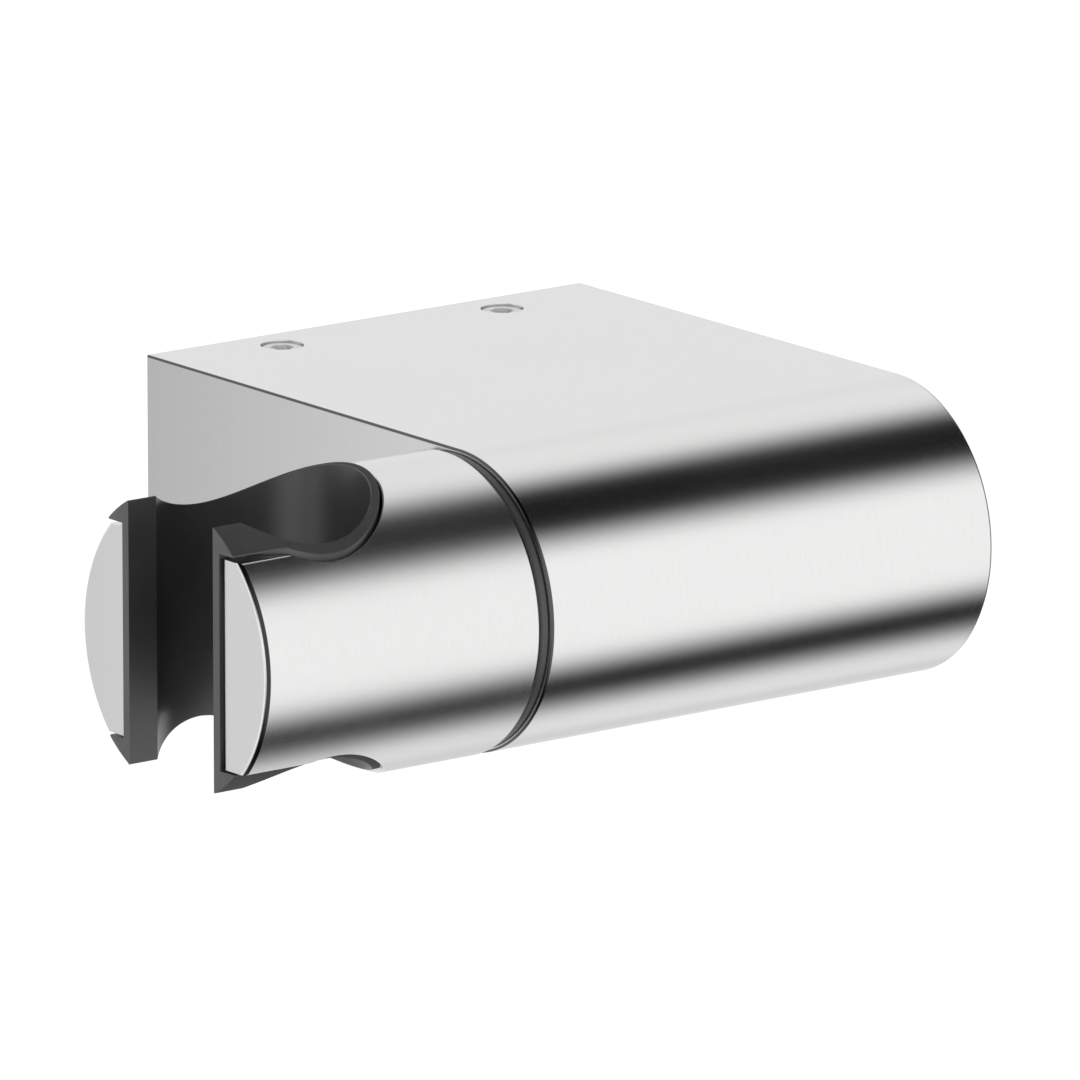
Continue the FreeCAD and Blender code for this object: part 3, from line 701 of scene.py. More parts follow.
@dataclass(frozen=True)
class BrushedSteel:
    """Satin steel with a grain that runs round the pivot axis, painted shade on the rounded edges by its
    ends, and painted shade on its end faces towards the wall. Lengths are in metres.
    """

    name: str
    color: Point = (0.72, 0.72, 0.715)
    roughness: float = 0.2
    across: float = 4200.0
    along: float = 900.0
    depth: float = 3.5e-6
    # Tone of the painted shade on the rounded edges by the ends, which stands in for their dark reflection.
    painted_edge_shade: float = 0.13
    # Tone of the painted shade on the end faces at the wall, which stands in for the darkening near the
    # wall.
    end_tone: float = 0.86
    painted_wall_shade: float = 0.74
    rounding: float = 0.93
    left_end: float = -0.03175
    right_end: float = 0.03175
    line_tone: float = 0.015
    line_roughness: float = 0.01
    drift: float = 0.008

    def material(self, groups: GroupKit) -> Material:
        """Builds the material.

        Args:
            groups: The shared node groups.

        Returns:
            The material.
        """
        kit = Finish(self.name)
        grain = kit.group(
            groups.brushed, Place=kit.place, Facing=kit.facing, Across=self.across,
            Along=self.along, Rounding=self.rounding, Left_End=self.left_end, Right_End=self.right_end,
        )
        lines, end = grain["Lines"], grain["End"]
        tone = kit.span(lines, *NOISE_MIDDLE, 1.0 - self.line_tone, 1.0 + self.line_tone)
        # The end faces take a darker tone. Painted shade darkens them further towards the wall, and painted
        # shade darkens the rounded edges by the ends most, standing in for the dark reflection on those
        # edges.
        for mask, share in (
            (end, self.end_tone), (kit.math("MULTIPLY", end, grain["Wallward"]), self.painted_wall_shade),
            (grain["Edge"], self.painted_edge_shade),
        ):
            tone = kit.math("MULTIPLY", tone, kit.span(mask, 0.0, 1.0, 1.0, share, smooth=False))
        shaded = kit.fill(kit.add("ShaderNodeVectorMath", self.color, operation="SCALE"), Scale=tone)
        rough = kit.span(
            lines, *NOISE_WIDE, self.roughness - self.line_roughness, self.roughness + self.line_roughness,
        )
        drift = kit.span(grain["Tone"], *NOISE_NARROW, -self.drift, self.drift)
        kit.set(
            Base_Color=shaded.outputs["Vector"], Metallic=1.0, Roughness=kit.math("ADD", rough, drift),
        )
        kit.bump(lines, self.depth)
        return kit.material


@dataclass(frozen=True)
class TurnedSteel:
    """Machined steel of the shaft, the pins, the screws and the springs."""

    name: str
    color: Point
    roughness: float
    pitch: float = 4000.0
    depth: float = 3e-6
    stain: float = 0.78
    smoother: float = 0.05
    rougher: float = 0.06

    def material(self, groups: GroupKit) -> Material:
        """Builds the material.

        Args:
            groups: The shared node groups.

        Returns:
            The material.
        """
        kit = Finish(self.name)
        lines = kit.group(groups.turned, Place=kit.place, Pitch=self.pitch)["Lines"]
        stain = kit.noise(kit.place, scale=300.0, detail=3.0, roughness=0.6)
        dark = (*(channel * self.stain for channel in self.color), 1.0)
        kit.set(
            Base_Color=kit.mix(Blend.COLOR, kit.span(stain, *NOISE_HIGH), (*self.color, 1.0), dark),
            Metallic=1.0,
            Roughness=kit.span(
                lines, *NOISE_MIDDLE, self.roughness - self.smoother, self.roughness + self.rougher,
            ),
        )
        kit.bump(lines, self.depth)
        return kit.material


@dataclass(frozen=True)
class MouldedPlastic:
    """Injection-moulded plastic or rubber with a fine matt skin."""

    name: str
    color: Point
    roughness: float
    fineness: float = 5000.0
    depth: float = 6e-6
    gloss: float = 0.5
    outside: float | None = None
    mottle: float = 0.15
    wear: float = 0.05

    def material(self, groups: GroupKit) -> Material:
        """Builds the material.

        Args:
            groups: The shared node groups.

        Returns:
            The material.
        """
        kit = Finish(self.name)
        skin = kit.group(groups.moulded, Place=kit.place, Facing=kit.facing, Fineness=self.fineness)
        dark, light = (
            (*(channel * share for channel in self.color), 1.0)
            for share in (1.0 - self.mottle, 1.0 + self.mottle)
        )
        worn = kit.span(skin["Skin"], *NOISE_MIDDLE, self.roughness - self.wear, self.roughness + self.wear)
        if self.outside is not None:
            more = kit.math("MULTIPLY", skin["Outward"], self.outside - self.roughness)
            worn = kit.math("ADD", worn, more)
        kit.set(
            Base_Color=kit.mix(Blend.COLOR, kit.span(skin["Tone"], *NOISE_NARROW), dark, light),
            Roughness=worn,
            Specular_IOR_Level=self.gloss,
        )
        kit.bump(skin["Skin"], self.depth)
        return kit.material


class Surface(Enum):
    """The kinds of surface, with the finish of each."""

    BODY = BrushedSteel("brushed_steel")
    # The swivel's rounded edges by its ends get a darker painted shade than the body's.
    SWIVEL = BrushedSteel(
        "brushed_steel_round", roughness=0.25, painted_edge_shade=0.07, end_tone=0.88, rounding=0.78,
        left_end=-0.07135, right_end=-0.033,
    )
    SHEET = BrushedSteel(
        "rolled_sheet", (0.6, 0.6, 0.6), 0.34, across=1500.0, along=60.0, depth=3e-6, painted_edge_shade=0.8,
        end_tone=0.9,
    )
    BRIGHT = TurnedSteel("ground_steel", (0.6, 0.6, 0.6), 0.22)
    SCREW = TurnedSteel("screw_steel", (0.88, 0.88, 0.875), 0.65, stain=0.96)
    SPRING = TurnedSteel("spring_steel", (0.38, 0.37, 0.36), 0.38, pitch=2500.0)
    LINER = MouldedPlastic("liner_plastic", (0.037, 0.037, 0.037), 0.33, gloss=0.85, outside=0.95)
    RING = MouldedPlastic("ring_plastic", (0.06, 0.06, 0.06), 0.35)
    BEARING = MouldedPlastic("bearing_plastic", (0.68, 0.66, 0.6), 0.4)
    RUBBER = MouldedPlastic("seal_rubber", (0.02, 0.02, 0.02), 0.55, fineness=3000.0)


class Piece(Protocol):
    """A visible piece."""

    def form(self) -> Form:
        """Makes the piece's solid, in millimetres."""


@dataclass(frozen=True)
class Housing:
    """The D-shaped shell with its bearing boss and its two screw bosses. Millimetres."""

    pivot: Pivot = Pivot()
    half_width: float = 31.75
    wall: float = 3.0
    chamfer: float = 0.4
    inner_fillet: float = 1.0
    boss_radius: float = 12.05
    boss_end: float = 12.0
    bore_radius: float = 8.05
    flange_radius: float = 9.75
    flange_depth: float = 1.2
    hub_inner: float = 13.9
    hub_outer: float = 15.7
    hub_depth: float = 0.9
    stop_inner: float = 10.6
    stop_outer: float = 13.0
    stop_depth: float = 2.0
    stop_half_turn: float = 50.83
    screw_x: float = 16.0
    screw_y: float = -5.2
    screw_hole: float = 2.5
    screw_boss: float = 5.0
    screw_boss_height: float = 2.0
    screw_mouth: float = 0.1

    def _block(self, half_width: float, radius: float, back: float) -> Mesh:
        """A D-shaped block that lies along X.

        Args:
            half_width: Half its length along X.
            radius: The nose's radius, half its height.
            back: Where its flat back is.

        Returns:
            The closed mesh.
        """
        axis = (-half_width, self.pivot.axis_y, 0.0)
        outline = Outline((-half_width, back, radius)).run((-half_width, self.pivot.axis_y, radius))
        outline.sweep(axis, ALONG_X, WHOLE_TURN / 2, self.pivot.round_steps // 2)
        return outline.run((-half_width, back, -radius)).extrude((half_width * 2, 0.0, 0.0))

    def _on_screw_mouth(self, one: Vector, two: Vector) -> bool:
        """True for an edge on the rim of a set screw's hole.

        Args:
            one: One end of the edge.
            two: Its other end.

        Returns:
            Whether both ends are on the rim.
        """
        return all(
            same(spot.z, self.pivot.nose_radius)
            and abs(math.hypot(abs(spot.x) - self.screw_x, spot.y - self.screw_y) - self.screw_hole) < NEAR
            for spot in (one, two)
        )

    def form(self) -> Form:
        """Makes the shell.

        Returns:
            Its form.
        """
        pivot = self.pivot
        outer = self._block(self.half_width, pivot.nose_radius, 0.0)
        soften(
            outer, lambda one, two: same(abs(one.x), self.half_width) and same(one.x, two.x),
            self.chamfer, segments=5,
        )
        cavity = self._block(self.half_width - self.wall, pivot.nose_radius - self.wall, 2 * PAST)
        soften(
            cavity, lambda one, two: same(one.x, two.x) and min(one.y, two.y) < PAST,
            self.inner_fillet, segments=3,
        )
        form = Form("housing_brushed_shell", outer).join(Join.CUT, cavity)
        form.join(Join.ADD, pivot.band(self.wall - PAST, self.boss_end, 0.0, self.boss_radius))
        form.join(Join.CUT, pivot.stepped(-PAST, self.flange_depth, self.boss_end + PAST,
                                          self.flange_radius, self.bore_radius))
        form.join(Join.CUT, pivot.band(-PAST, self.hub_depth, self.hub_inner, self.hub_outer))
        form.join(Join.CUT, pivot.band(-PAST, self.stop_depth, self.stop_inner, self.stop_outer,
                                       self.stop_half_turn * 2, -self.stop_half_turn))
        low = pivot.nose_radius - self.wall - self.screw_boss_height
        for how, start, radius, length, steps in (
            (Join.ADD, low, self.screw_boss, self.screw_boss_height + PAST, COARSE_ROUND),
            (Join.CUT, low - PAST, self.screw_hole, self.screw_boss_height + self.wall + 3 * PAST, ROUND),
        ):
            for x in (-self.screw_x, self.screw_x):
                form.join(how, cylinder((x, self.screw_y, start), UPRIGHT, radius, length, steps))
        return form.reshape(
            lambda mesh: soften(mesh, self._on_screw_mouth, self.screw_mouth, segments=2)
        )


@dataclass(frozen=True)
class Socket:
    """The plan that the swivel's metal and the plastic liner share. Millimetres."""

    pivot: Pivot = Pivot()
    place_x: float = -58.95
    end_x: float = -71.35
    steps: int = 240

    @property
    def past_end(self) -> float:
        """Where the cutters start, past the swivel's end."""
        return self.end_x - 2 * PAST

    def off_axis(self, spot: Vector) -> tuple[float, float]:
        """How far a spot is from the slot's middle plane, and how far from the socket's axis."""
        aside = abs(spot.y - self.pivot.axis_y)
        return aside, math.hypot(spot.x - self.place_x, aside)

    def on_round(self, spot: Vector, radius: float) -> float:
        """Height over a spot, never negative, of a round about the pivot axis."""
        return math.sqrt(max(0.0, radius ** 2 - (spot.y - self.pivot.axis_y) ** 2))

    def rail(self, mouth_x: float, half_width: float, radius: float, height: float,
             mesh: Mesh | None = None, stop: float | None = None) -> Outline:
        """A round with a slot open towards -X, seen from above: in at one side and out at the other.

        Args:
            mouth_x: Where the slot ends.
            half_width: Half the slot's width.
            radius: The round's radius.
            height: The height that it lies at.
            mesh: The mesh that it grows in.
            stop: Angle from the slot's middle, in degrees, at which the round has a vertex.

        Returns:
            The open outline.
        """
        opened = math.degrees(math.asin(half_width / radius))
        stop = opened if stop is None else stop
        neck_x = self.place_x - radius * math.cos(math.radians(opened))
        side = self.pivot.axis_y
        rail = Outline((mouth_x, side - half_width, height), mesh)
        rail.run((neck_x, side - half_width, height))
        arcs = [(WHOLE_TURN - 2 * stop, self.steps)]
        if stop > opened:
            short = (stop - opened, self.steps // 10)
            arcs = [short, *arcs, short]
        for degrees, steps in arcs:
            rail.sweep((self.place_x, side, height), UPRIGHT, degrees, steps)
        return rail.run((mouth_x, side + half_width, height))

    def slab(self, low: float, high: float) -> Mesh:
        """A flat block across the swivel, from the socket's middle to past the swivel's end.

        Args:
            low: Its lowest height.
            high: Its highest height.

        Returns:
            The closed mesh.
        """
        half = self.pivot.nose_radius + 2 * PAST
        front, back = self.pivot.axis_y - half, self.pivot.axis_y + half
        outline = Outline((self.past_end, front, low)).run(
            (self.place_x, front, low), (self.place_x, back, low), (self.past_end, back, low),
        )
        return outline.extrude((0.0, 0.0, high - low))

    def ribbon(self, inner: tuple[float, float], outer: tuple[float, float], mouth_x: float,
               stop: float | None = None) -> tuple[Mesh, list[Edge]]:
        """A flat strip between two rails.

        Args:
            inner: Half width and radius of the inner rail.
            outer: Half width and radius of the outer rail.
            mouth_x: Where both end.
            stop: Angle at which both have a vertex, in degrees.

        Returns:
            The mesh, at height 0, and the edges across it.
        """
        mesh = bmesh.new()
        rails = [self.rail(mouth_x, half, radius, 0.0, mesh, stop) for half, radius in (inner, outer)]
        made = bmesh.ops.bridge_loops(mesh, edges=rails[0].edges + rails[1].edges)
        return mesh, made["edges"]


@dataclass(frozen=True)
class SwivelMetal:
    """The round metal body on the nose axis, cut through for the socket. Millimetres."""

    socket: Socket = Socket()
    start: float = -1.25
    chamfer: float = 0.65
    hole_half: float = 9.7
    hole_radius: float = 13.35
    top_seat: float = 12.42
    low_seat: float = -11.65
    counterbore: float = 5.4
    head_seat: float = -8.0
    shaft_slot_radius: float = 6.05
    shaft_slot_end: float = -5.75
    clearance_radius: float = 3.2
    cut_edge: float = 0.15
    spare: float = 0.1

    def _rim_cutter(self, side: float) -> Mesh:
        """A strip that breaks the edge where the hole meets the swivel's round.

        Args:
            side: 1 for the top rim, -1 for the bottom rim.

        Returns:
            The closed mesh.
        """
        socket, nose = self.socket, self.socket.pivot.nose_radius
        low, high = -self.spare, self.cut_edge + self.spare
        strip, _ = socket.ribbon(
            (self.hole_half + low, self.hole_radius + low),
            (self.hole_half + high, self.hole_radius + high), socket.past_end,
        )

        def height(spot: Vector, far: bool) -> float:
            """The near side slopes up from the round, and the far side is above it."""
            out = min(socket.off_axis(spot)[1], self.hole_radius + high) - self.hole_radius - self.cut_edge
            return side * (nose + 2 * PAST if far else socket.on_round(spot, nose) + out)

        return thicken(strip, height)

    def _edge_cutter(self, side: float, seat: float) -> Mesh:
        """A strip that breaks the edge where a wing's seat meets the swivel's round.

        Args:
            side: 1 for the wall's side, -1 for the front.
            seat: The seat's height.

        Returns:
            The closed mesh.
        """
        pivot = self.socket.pivot
        corner = math.asin(abs(seat) / pivot.nose_radius)
        below = corner - self.cut_edge / pivot.nose_radius
        on_seat = Vector((0.0, pivot.nose_radius * math.cos(corner) - self.cut_edge, abs(seat)))
        on_round = Vector((0.0, math.cos(below), math.sin(below))) * pivot.nose_radius
        run = (on_seat - on_round).normalized() * self.spare
        away = Vector((0.0, math.cos(corner), math.sin(corner))) * (pivot.nose_radius + PAST)
        end = self.socket.place_x - math.sqrt(self.hole_radius ** 2 - on_round.y ** 2)
        first, *others = (
            tuple(Vector((self.socket.past_end, pivot.axis_y + side * spot.y, math.copysign(spot.z, seat))))
            for spot in (on_seat + run, on_round - run, away)
        )
        return Outline(first).run(*others).extrude((end + 3 * self.spare - first[0], 0.0, 0.0))

    def form(self) -> Form:
        """Makes the body.

        Returns:
            Its form.
        """
        socket, pivot = self.socket, self.socket.pivot
        bar = pivot.band(socket.end_x - pivot.left_face, self.start, 0.0, pivot.nose_radius)
        soften(
            bar,
            lambda one, two: same(one.x, two.x)
            and math.hypot(one.y - pivot.axis_y, one.z) > pivot.nose_radius - NEAR,
            self.chamfer, segments=5,
        )
        form = Form("swivel_brushed_body", bar)
        hole = socket.rail(socket.past_end, self.hole_half, self.hole_radius, -BEYOND)
        form.join(Join.CUT, hole.extrude((0.0, 0.0, 2 * BEYOND)))
        for low, high in ((self.top_seat, BEYOND), (-BEYOND, self.low_seat)):
            form.join(Join.CUT, socket.slab(low, high))
        for side in (1.0, -1.0):
            form.join(Join.CUT, self._rim_cutter(side))
            for seat in (self.top_seat, self.low_seat):
                form.join(Join.CUT, self._edge_cutter(side, seat))
        middle = socket.place_x - pivot.left_face
        form.join(Join.CUT, pivot.band(middle, self.head_seat, 0.0, self.counterbore))
        return form.join(Join.CUT, pivot.stepped(
            self.head_seat - PAST, self.shaft_slot_end, self.start + PAST, self.clearance_radius,
            self.shaft_slot_radius,
        ))


@dataclass(frozen=True)
class SocketLiner:
    """The plastic liner, lifted a little above the pivot axis. Millimetres."""

    socket: Socket = Socket()
    lift: float = 0.45
    lip_radius: float = 17.4
    bore: float = 12.0
    wall: float = 1.0
    slot_half: float = 8.0
    cheek_wall: float = 1.2
    proud: float = 0.4
    wing_width: float = 2.57
    wing_floor: float = 12.6
    plug_radius: float = 5.3
    plug_end: float = -12.3
    low_trim: float = 0.35
    trim_start: float = 8.0
    rim: float = 0.2
    edge: float = 0.06
    rim_reach: float = 0.05
    rim_depth: float = 0.5

    @property
    def cheek_half(self) -> float:
        """Half the width over the cheeks."""
        return self.slot_half + self.cheek_wall

    @property
    def wing_half(self) -> float:
        """Half the width over the wings."""
        return self.cheek_half + self.wing_width

    def form(self) -> Form:
        """Makes the liner.

        Returns:
            Its form.
        """
        mesh = self._wall()
        for side in (1.0, -1.0):
            self._grow_wings(mesh, side)
        bmesh.ops.remove_doubles(mesh, verts=mesh.verts[:], dist=TOUCH)
        bmesh.ops.dissolve_degenerate(mesh, edges=mesh.edges[:], dist=TOUCH)
        turn_outwards(mesh)
        soften(mesh, self._on_bore_rim, self.rim, segments=4)
        soften(mesh, lambda one, two: not self._near_bore_rim(one), self.edge, segments=2)
        return Form("socket_liner_moulding", mesh).join(Join.ADD, self._plug()).reshape(self._seat)

    def _wall(self) -> Mesh:
        """The wall round the bore and beside the slot, with its lips on the swivel's round.

        Returns:
            The closed mesh.
        """
        outer = self.bore + self.wall
        stop = math.degrees(math.asin(self.wing_half / outer))
        mesh, across = self.socket.ribbon(
            (self.slot_half, self.bore), (self.cheek_half, outer), self.socket.end_x - self.proud, stop,
        )
        bmesh.ops.subdivide_edges(mesh, edges=across, cuts=3, use_grid_fill=True)
        return thicken(mesh, lambda spot, top: self._lip(spot, 1.0 if top else -1.0))

    def _lip(self, spot: Vector, side: float) -> float:
        """Height of the top lip, or of the bottom one for side -1, at a spot."""
        return side * self.socket.on_round(spot, self.lip_radius)

    def _grow_wings(self, mesh: Mesh, side: float) -> None:
        """Pushes the two wings out of the wall, at its top or at its bottom.

        Args:
            mesh: The wall.
            side: 1 for the top, -1 for the bottom.
        """
        middle = self.socket.pivot.axis_y
        upright = [
            edge for edge in mesh.edges
            if all(self._is_outer(vert.co) for vert in edge.verts)
            and (edge.verts[0].co - edge.verts[1].co).xy.length < MERGE
            and max(vert.co.z * side for vert in edge.verts) > self.wing_floor
        ]
        split = bmesh.ops.subdivide_edges(mesh, edges=upright, cuts=1)
        for vert in verts_in(split["geom_inner"]):
            vert.co.z = side * self.wing_floor
        band = [
            face for face in mesh.faces
            if all(self._is_outer(vert.co) and side * vert.co.z > self.wing_floor - TOUCH
                   for vert in face.verts)
        ]
        edges = {edge for face in band for edge in face.edges}
        verts = {vert for face in band for vert in face.verts}
        grown = bmesh.ops.extrude_face_region(mesh, geom=[*band, *edges, *verts])
        moved = set(verts_in(grown["geom"]))
        for vert in moved:
            vert.co.y = middle + math.copysign(self.wing_half, vert.co.y - middle)
        self._raise_lip(moved, side)
        across = [edge for edge in mesh.edges if len(moved.intersection(edge.verts)) == 1]
        split = bmesh.ops.subdivide_edges(mesh, edges=across, cuts=6, use_grid_fill=True)
        self._raise_lip(verts_in(split["geom_inner"]), side)

    def _raise_lip(self, verts: Iterable[Vert], side: float) -> None:
        """Puts every vertex that is past the wings' floor on the lip's round.

        Args:
            verts: The vertices.
            side: 1 for the top, -1 for the bottom.
        """
        for vert in verts:
            if side * vert.co.z > self.wing_floor + TOUCH:
                vert.co.z = self._lip(vert.co, side)

    def _is_outer(self, spot: Vector) -> bool:
        """True on the wall's outer face, between the mouth and the wings' ends.

        Args:
            spot: The place.

        Returns:
            Whether it is where a wing starts from.
        """
        outer = self.bore + self.wall
        aside, away = self.socket.off_axis(spot)
        on_cheek = same(aside, self.cheek_half) and away > outer - TOUCH
        on_round = same(away, outer) and aside < self.wing_half + TOUCH
        return (on_cheek or on_round) and spot.x < self.socket.place_x

    def _plug(self) -> Mesh:
        """The round plug that hides the pivot screw, ended inside the wall.

        Returns:
            The closed mesh.
        """
        place_x, pivot = self.socket.place_x, self.socket.pivot
        length = self.plug_end + pivot.left_face - place_x
        start = (place_x, pivot.axis_y, -self.lift)
        plug = Form("plug", cylinder(start, ALONG_X, self.plug_radius, length, ROUND))
        start = (place_x, pivot.axis_y, -BEYOND / 2)
        plug.join(Join.CUT, cylinder(start, UPRIGHT, self.bore + self.wall / 2, BEYOND, FINE_ROUND))
        mesh = bmesh.new()
        mesh.from_mesh(plug.item.data)
        bpy.data.meshes.remove(plug.item.data)
        return mesh

    def _seat(self, mesh: Mesh) -> None:
        """Trims the liner's bottom end, more towards its front, and lifts the liner to its place.

        Args:
            mesh: The liner.
        """
        for vert in mesh.verts:
            if vert.co.z < -self.bore + self.wall:
                before = self.socket.place_x + self.trim_start - vert.co.x
                vert.co.z += self.low_trim * min(max(before / self.trim_start, 0.0), 1.0)
        bmesh.ops.translate(mesh, vec=(0.0, 0.0, self.lift), verts=mesh.verts[:])

    def _on_bore_rim(self, one: Vector, two: Vector) -> bool:
        """Whether an edge is where the bore or the slot meets the lips."""
        return self._near_bore_rim(one) and self._near_bore_rim(two) and (one - two).xy.length > MERGE

    def _near_bore_rim(self, spot: Vector) -> bool:
        """True on the inner edge of the lips, or on its rounding.

        Args:
            spot: The place.

        Returns:
            Whether it is there.
        """
        reach = self.rim + self.rim_reach
        aside, away = self.socket.off_axis(spot)
        in_slot = aside < self.slot_half + reach and spot.x < self.socket.place_x
        return (in_slot or away < self.bore + reach) and abs(spot.z) > self._lip(spot, 1.0) - self.rim_depth


@dataclass(frozen=True)
class SpacerRing:
    """The dark ring between the housing and the swivel. Millimetres."""

    pivot: Pivot = Pivot()
    thickness: float = 1.2
    bore: float = 13.4
    radius: float = 17.1
    chamfer: float = 0.25
    hub_inner: float = 14.0
    hub_outer: float = 15.5
    hub_height: float = 0.8

    def form(self) -> Form:
        """Makes the ring.

        Returns:
            Its form.
        """
        start, edge = -self.thickness, self.radius - self.chamfer
        section = (
            (start, self.bore), (0.0, self.bore), (0.0, self.hub_inner), (self.hub_height, self.hub_inner),
            (self.hub_height, self.hub_outer), (0.0, self.hub_outer), (0.0, edge),
            (-self.chamfer, self.radius), (start + self.chamfer, self.radius), (start, edge),
        )
        return Form("spacer_ring_turned", self.pivot.ring(section))


@dataclass(frozen=True)
class ClampScrew:
    """A set screw sunk in the housing's top, on the left (side -1) or on the right. Millimetres."""

    side: float
    name: str
    housing: Housing = Housing()
    radius: float = 2.45
    low: float = 12.2
    high: float = 17.2
    hex_flats: float = 2.5
    hex_depth: float = 2.0
    chamfer: float = 0.15

    def form(self) -> Form:
        """Makes the screw.

        Returns:
            Its form.
        """
        x, y = self.housing.screw_x * self.side, self.housing.screw_y
        shank = cylinder((x, y, self.low), UPRIGHT, self.radius, self.high - self.low, ROUND)
        soften(shank, lambda one, two: same(one.z, two.z), self.chamfer, segments=2)
        corner = self.hex_flats / math.sqrt(3.0)
        key = cylinder((x, y, self.high - self.hex_depth), UPRIGHT, corner, self.hex_depth + PAST, HEXAGON)
        return Form(self.name, shank).join(Join.CUT, key)


@dataclass(frozen=True)
class WallPlate:
    """The bent plate on the wall, with two countersunk holes. Millimetres."""

    half_width: float = 27.55
    low: float = -14.5
    high: float = 12.2
    flange: float = 11.0
    thickness: float = 2.5
    inner_bend: float = 1.0
    outer_bend: float = 2.25
    hole_x: float = 18.0
    hole: float = 2.75
    sink: float = 2.0

    def form(self) -> Form:
        """Makes the plate.

        Returns:
            Its form.
        """
        inside, top, bottom = -self.thickness, self.high - self.thickness, self.low + self.thickness
        first, *others = (
            (-self.half_width, y, z)
            for y, z in ((0.0, self.low), (0.0, self.high), (-self.flange, self.high), (-self.flange, top),
                         (inside, top), (inside, bottom), (-self.flange, bottom), (-self.flange, self.low))
        )
        channel = Outline(first).run(*others).extrude((self.half_width * 2, 0.0, 0.0))
        soften(channel, edge_along_x(0.0), self.outer_bend, segments=8)
        soften(channel, edge_along_x(inside), self.inner_bend, segments=6)
        form = Form("wall_plate_sheet", channel)
        for x in (-self.hole_x, self.hole_x):
            bare, sunk = x + self.hole, x + self.hole + self.sink
            section = Outline((x, PAST, 0.0)).run(
                (x, inside - PAST, 0.0), (sunk, inside - PAST, 0.0), (sunk, inside, 0.0),
                (bare, inside + self.sink, 0.0), (bare, PAST, 0.0),
            )
            form.join(Join.CUT, section.revolve((x, 0.0, 0.0), ALONG_Y, WHOLE_TURN, ROUND))
        return form


@dataclass(frozen=True)
class HiddenPieces:
    """The inner pieces, which keep the shapes that they came with and get their finishes."""

    surfaces: tuple[tuple[Surface, tuple[str, ...]], ...] = (
        (Surface.BEARING, ("bearing_bush", "thrust_washer")),
        (Surface.SPRING, ("disc_spring_outer", "disc_spring_inner", "lock_washer")),
        (Surface.BRIGHT, ("pivot_shaft", "stop_pin")),
        (Surface.RUBBER, ("shaft_o_ring",)),
        (Surface.SCREW, ("pivot_screw",)),
    )

    def dress(self, nodes: dict[str, Item], coats: dict[Surface, Material]) -> None:
        """Gives each inner piece its material.

        Args:
            nodes: Node name to object.
            coats: Surface to material.
        """
        for surface, names in self.surfaces:
            for name in names:
                materials = nodes[name].data.materials
                materials.clear()
                materials.append(coats[surface])
                LOG.info("%s: %s", name, coats[surface].name)


@dataclass(frozen=True)
class LightBand:
    """A panel of the studio that lies along X, seen at an angle round the X axis. Degrees."""

    low: float
    high: float
    low_ease: float
    high_ease: float
    strength: float


@dataclass(frozen=True)
class LightSpot:
    """A round, soft-edged panel of the studio. Its reaches are in degrees."""

    towards: Point
    inner: float
    outer: float
    strength: float


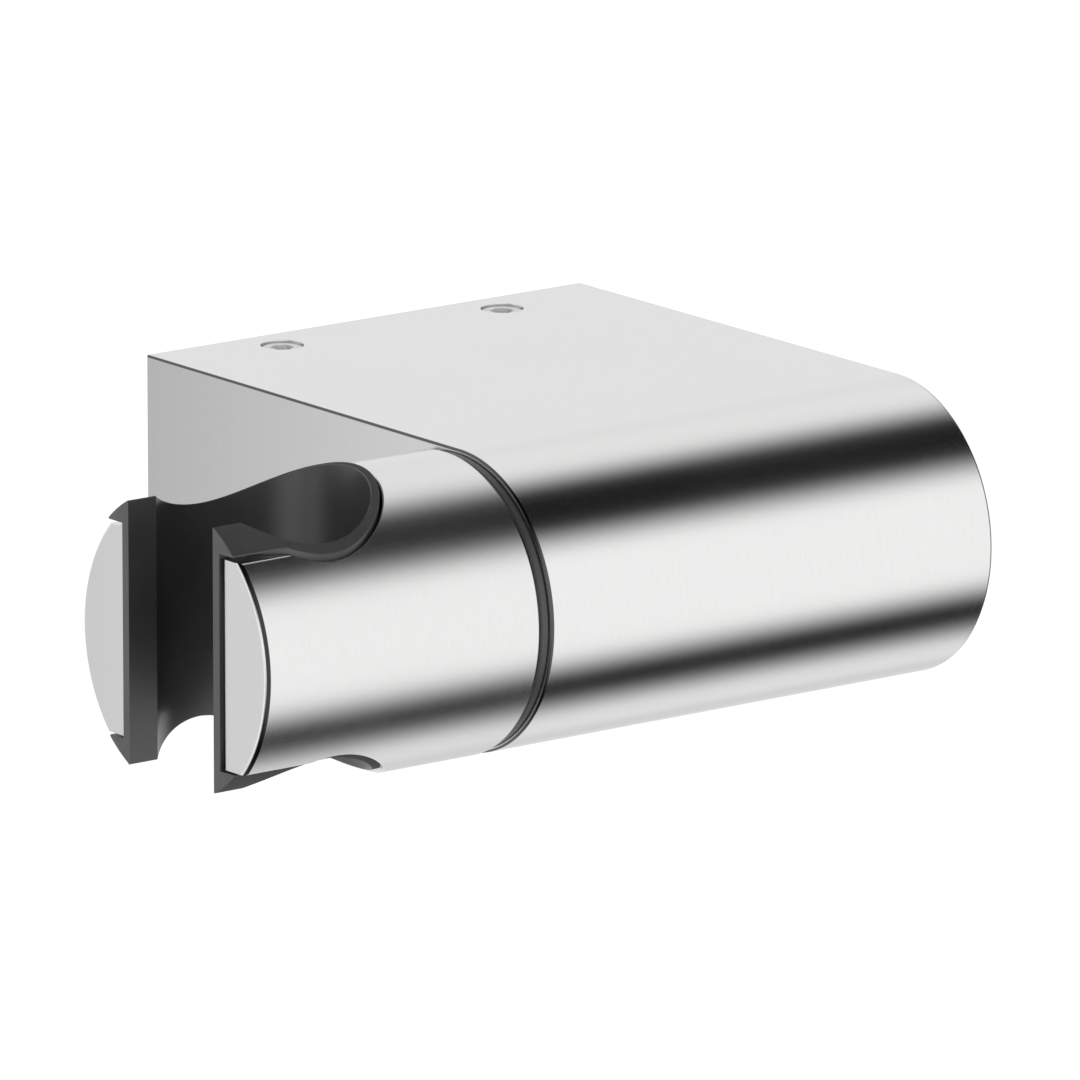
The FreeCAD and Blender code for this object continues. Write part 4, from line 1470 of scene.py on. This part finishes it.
@dataclass(frozen=True)
class Studio:
    """A white studio with two dark gaps between its front, top and floor panels. Metres."""

    bands: tuple[LightBand, ...] = (
        LightBand(-48.0, 47.0, 15.0, 15.0, 1.19),
        LightBand(99.5, 400.0, 13.5, 1.0, 0.95),
        LightBand(-400.0, -87.0, 1.0, 18.0, 0.98),
        LightBand(112.0, 138.0, 9.0, 12.0, 0.09),
    )
    spots: tuple[LightSpot, ...] = (
        LightSpot((-0.96, 0.12, -0.22), 14.0, 36.0, 0.35),
        LightSpot((0.59, 0.58, -0.56), 5.0, 17.0, -0.2),
    )
    base: float = 0.004
    floor_height: float = -0.16
    floor_size: float = 12.0
    floor_tone: float = 0.3
    floor_glow: float = 0.86

    def light(self) -> None:
        """Builds the world: the panels for the object, and plain white for the camera."""
        world = bpy.data.worlds.new("studio")
        bpy.context.scene.world = world
        world.use_nodes = True
        kit = NodeTree(world.node_tree)
        way = kit.add("ShaderNodeTexCoord").outputs["Generated"]
        _, y, z = kit.add("ShaderNodeSeparateXYZ", way).outputs
        round_x = kit.math("ARCTAN2", z, kit.math("MULTIPLY", y, -1.0))
        angle = kit.math("MULTIPLY", round_x, 180.0 / math.pi)
        level: object = self.base
        for band in self.bands:
            rise = kit.span(angle, band.low - band.low_ease, band.low + band.low_ease)
            fall = kit.span(angle, band.high - band.high_ease, band.high + band.high_ease, 1.0, 0.0)
            inside = kit.math("MULTIPLY", kit.math("MULTIPLY", rise, fall), band.strength)
            level = kit.math("ADD", inside, level)
        for spot in self.spots:
            away = kit.math("ARCCOSINE", kit.dot(way, tuple(Vector(spot.towards).normalized())))
            inside = kit.span(away, math.radians(spot.inner), math.radians(spot.outer), 1.0, 0.0)
            level = kit.math("ADD", kit.math("MULTIPLY", inside, spot.strength), level)
        camera_ray = kit.add("ShaderNodeLightPath").outputs["Is Camera Ray"]
        seen = kit.mix(Blend.NUMBER, camera_ray, level, 1.0)
        kit.fill(world.node_tree.nodes["Background"], Color=WHITE, Strength=seen)

    def floor(self) -> None:
        """Lays a pale floor that shows to the camera as white and keeps the object's shadow."""
        mesh = bmesh.new()
        bmesh.ops.create_grid(mesh, x_segments=1, y_segments=1, size=self.floor_size)
        bmesh.ops.translate(mesh, vec=(0.0, 0.0, self.floor_height), verts=mesh.verts[:])
        floor = new_item("floor", mesh)
        coat = bpy.data.materials.new("floor_white")
        coat.use_nodes = True
        NodeTree(coat.node_tree).fill(
            coat.node_tree.nodes["Principled BSDF"], Base_Color=(*(self.floor_tone,) * 3, 1.0),
            Roughness=1.0, Specular_IOR_Level=0.0, Emission_Color=WHITE, Emission_Strength=self.floor_glow,
        )
        floor.data.materials.append(coat)
        floor.visible_glossy = False
        floor.visible_diffuse = False
        floor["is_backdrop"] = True


@dataclass(frozen=True)
class View:
    """The photograph's viewpoint: a long lens, above and to the left of the front."""

    target: Point = (-0.02015, -0.06006, 0.00533)
    azimuth: float = -37.267
    elevation: float = 13.569
    distance: float = 1.7234
    lens: float = 507.1
    sensor: float = 36.0
    far_clip: float = 100.0

    def place(self) -> None:
        """Makes the camera and the scene's view settings."""
        turn, rise = math.radians(self.azimuth), math.radians(self.elevation)
        back = Vector((
            math.sin(turn) * math.cos(rise), -math.cos(turn) * math.cos(rise), math.sin(rise),
        ))
        data = bpy.data.cameras.new("camera")
        data.sensor_width = self.sensor
        data.lens = self.lens
        data.clip_end = self.far_clip
        camera = bpy.data.objects.new("camera", data)
        camera.location = Vector(self.target) + back * self.distance
        camera.rotation_mode = "QUATERNION"
        camera.rotation_quaternion = (-back).to_track_quat("-Z", "Y")
        bpy.context.scene.collection.objects.link(camera)
        bpy.context.scene.camera = camera
        bpy.context.scene.view_settings.view_transform = "Standard"


def corners(box: tuple[Vector, Vector]) -> list[list[float]]:
    """A box as plain lists of numbers."""
    return [[float(value) for value in corner] for corner in box]


def main() -> None:
    """Builds every piece, dresses what stays, and sets the studio and the camera."""
    logging.basicConfig(level=logging.INFO, format="%(message)s")
    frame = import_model()
    sizes = {"cad": corners(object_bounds())}
    groups = GroupKit()
    coats = {surface: surface.value.material(groups) for surface in Surface}
    pieces: tuple[tuple[Piece, str, str, str, Surface], ...] = (
        (Housing(), "holder", "housing", "brushed_body", Surface.BODY),
        (SwivelMetal(), "swivel", "swivel_body", "brushed_body", Surface.SWIVEL),
        (SocketLiner(), "swivel", "socket_liner", "liner_plastic", Surface.LINER),
        (SpacerRing(), "holder", "spacer_ring", "ring_plastic", Surface.RING),
        (ClampScrew(-1.0, "clamp_screw_left"), "holder", "set_screw_left", "screw_steel", Surface.SCREW),
        (ClampScrew(1.0, "clamp_screw_right"), "holder", "set_screw_right", "screw_steel", Surface.SCREW),
        (WallPlate(), "holder", "wall_plate", "plate_steel", Surface.SHEET),
    )
    for piece, body, node, slot, surface in pieces:
        piece.form().finish(body, node, slot, coats[surface])
    HiddenPieces().dress(frame["nodes"], coats)
    studio = Studio()
    studio.light()
    studio.floor()
    View().place()
    sizes["visual"] = corners(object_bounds())


if __name__ == "__main__":
    main()
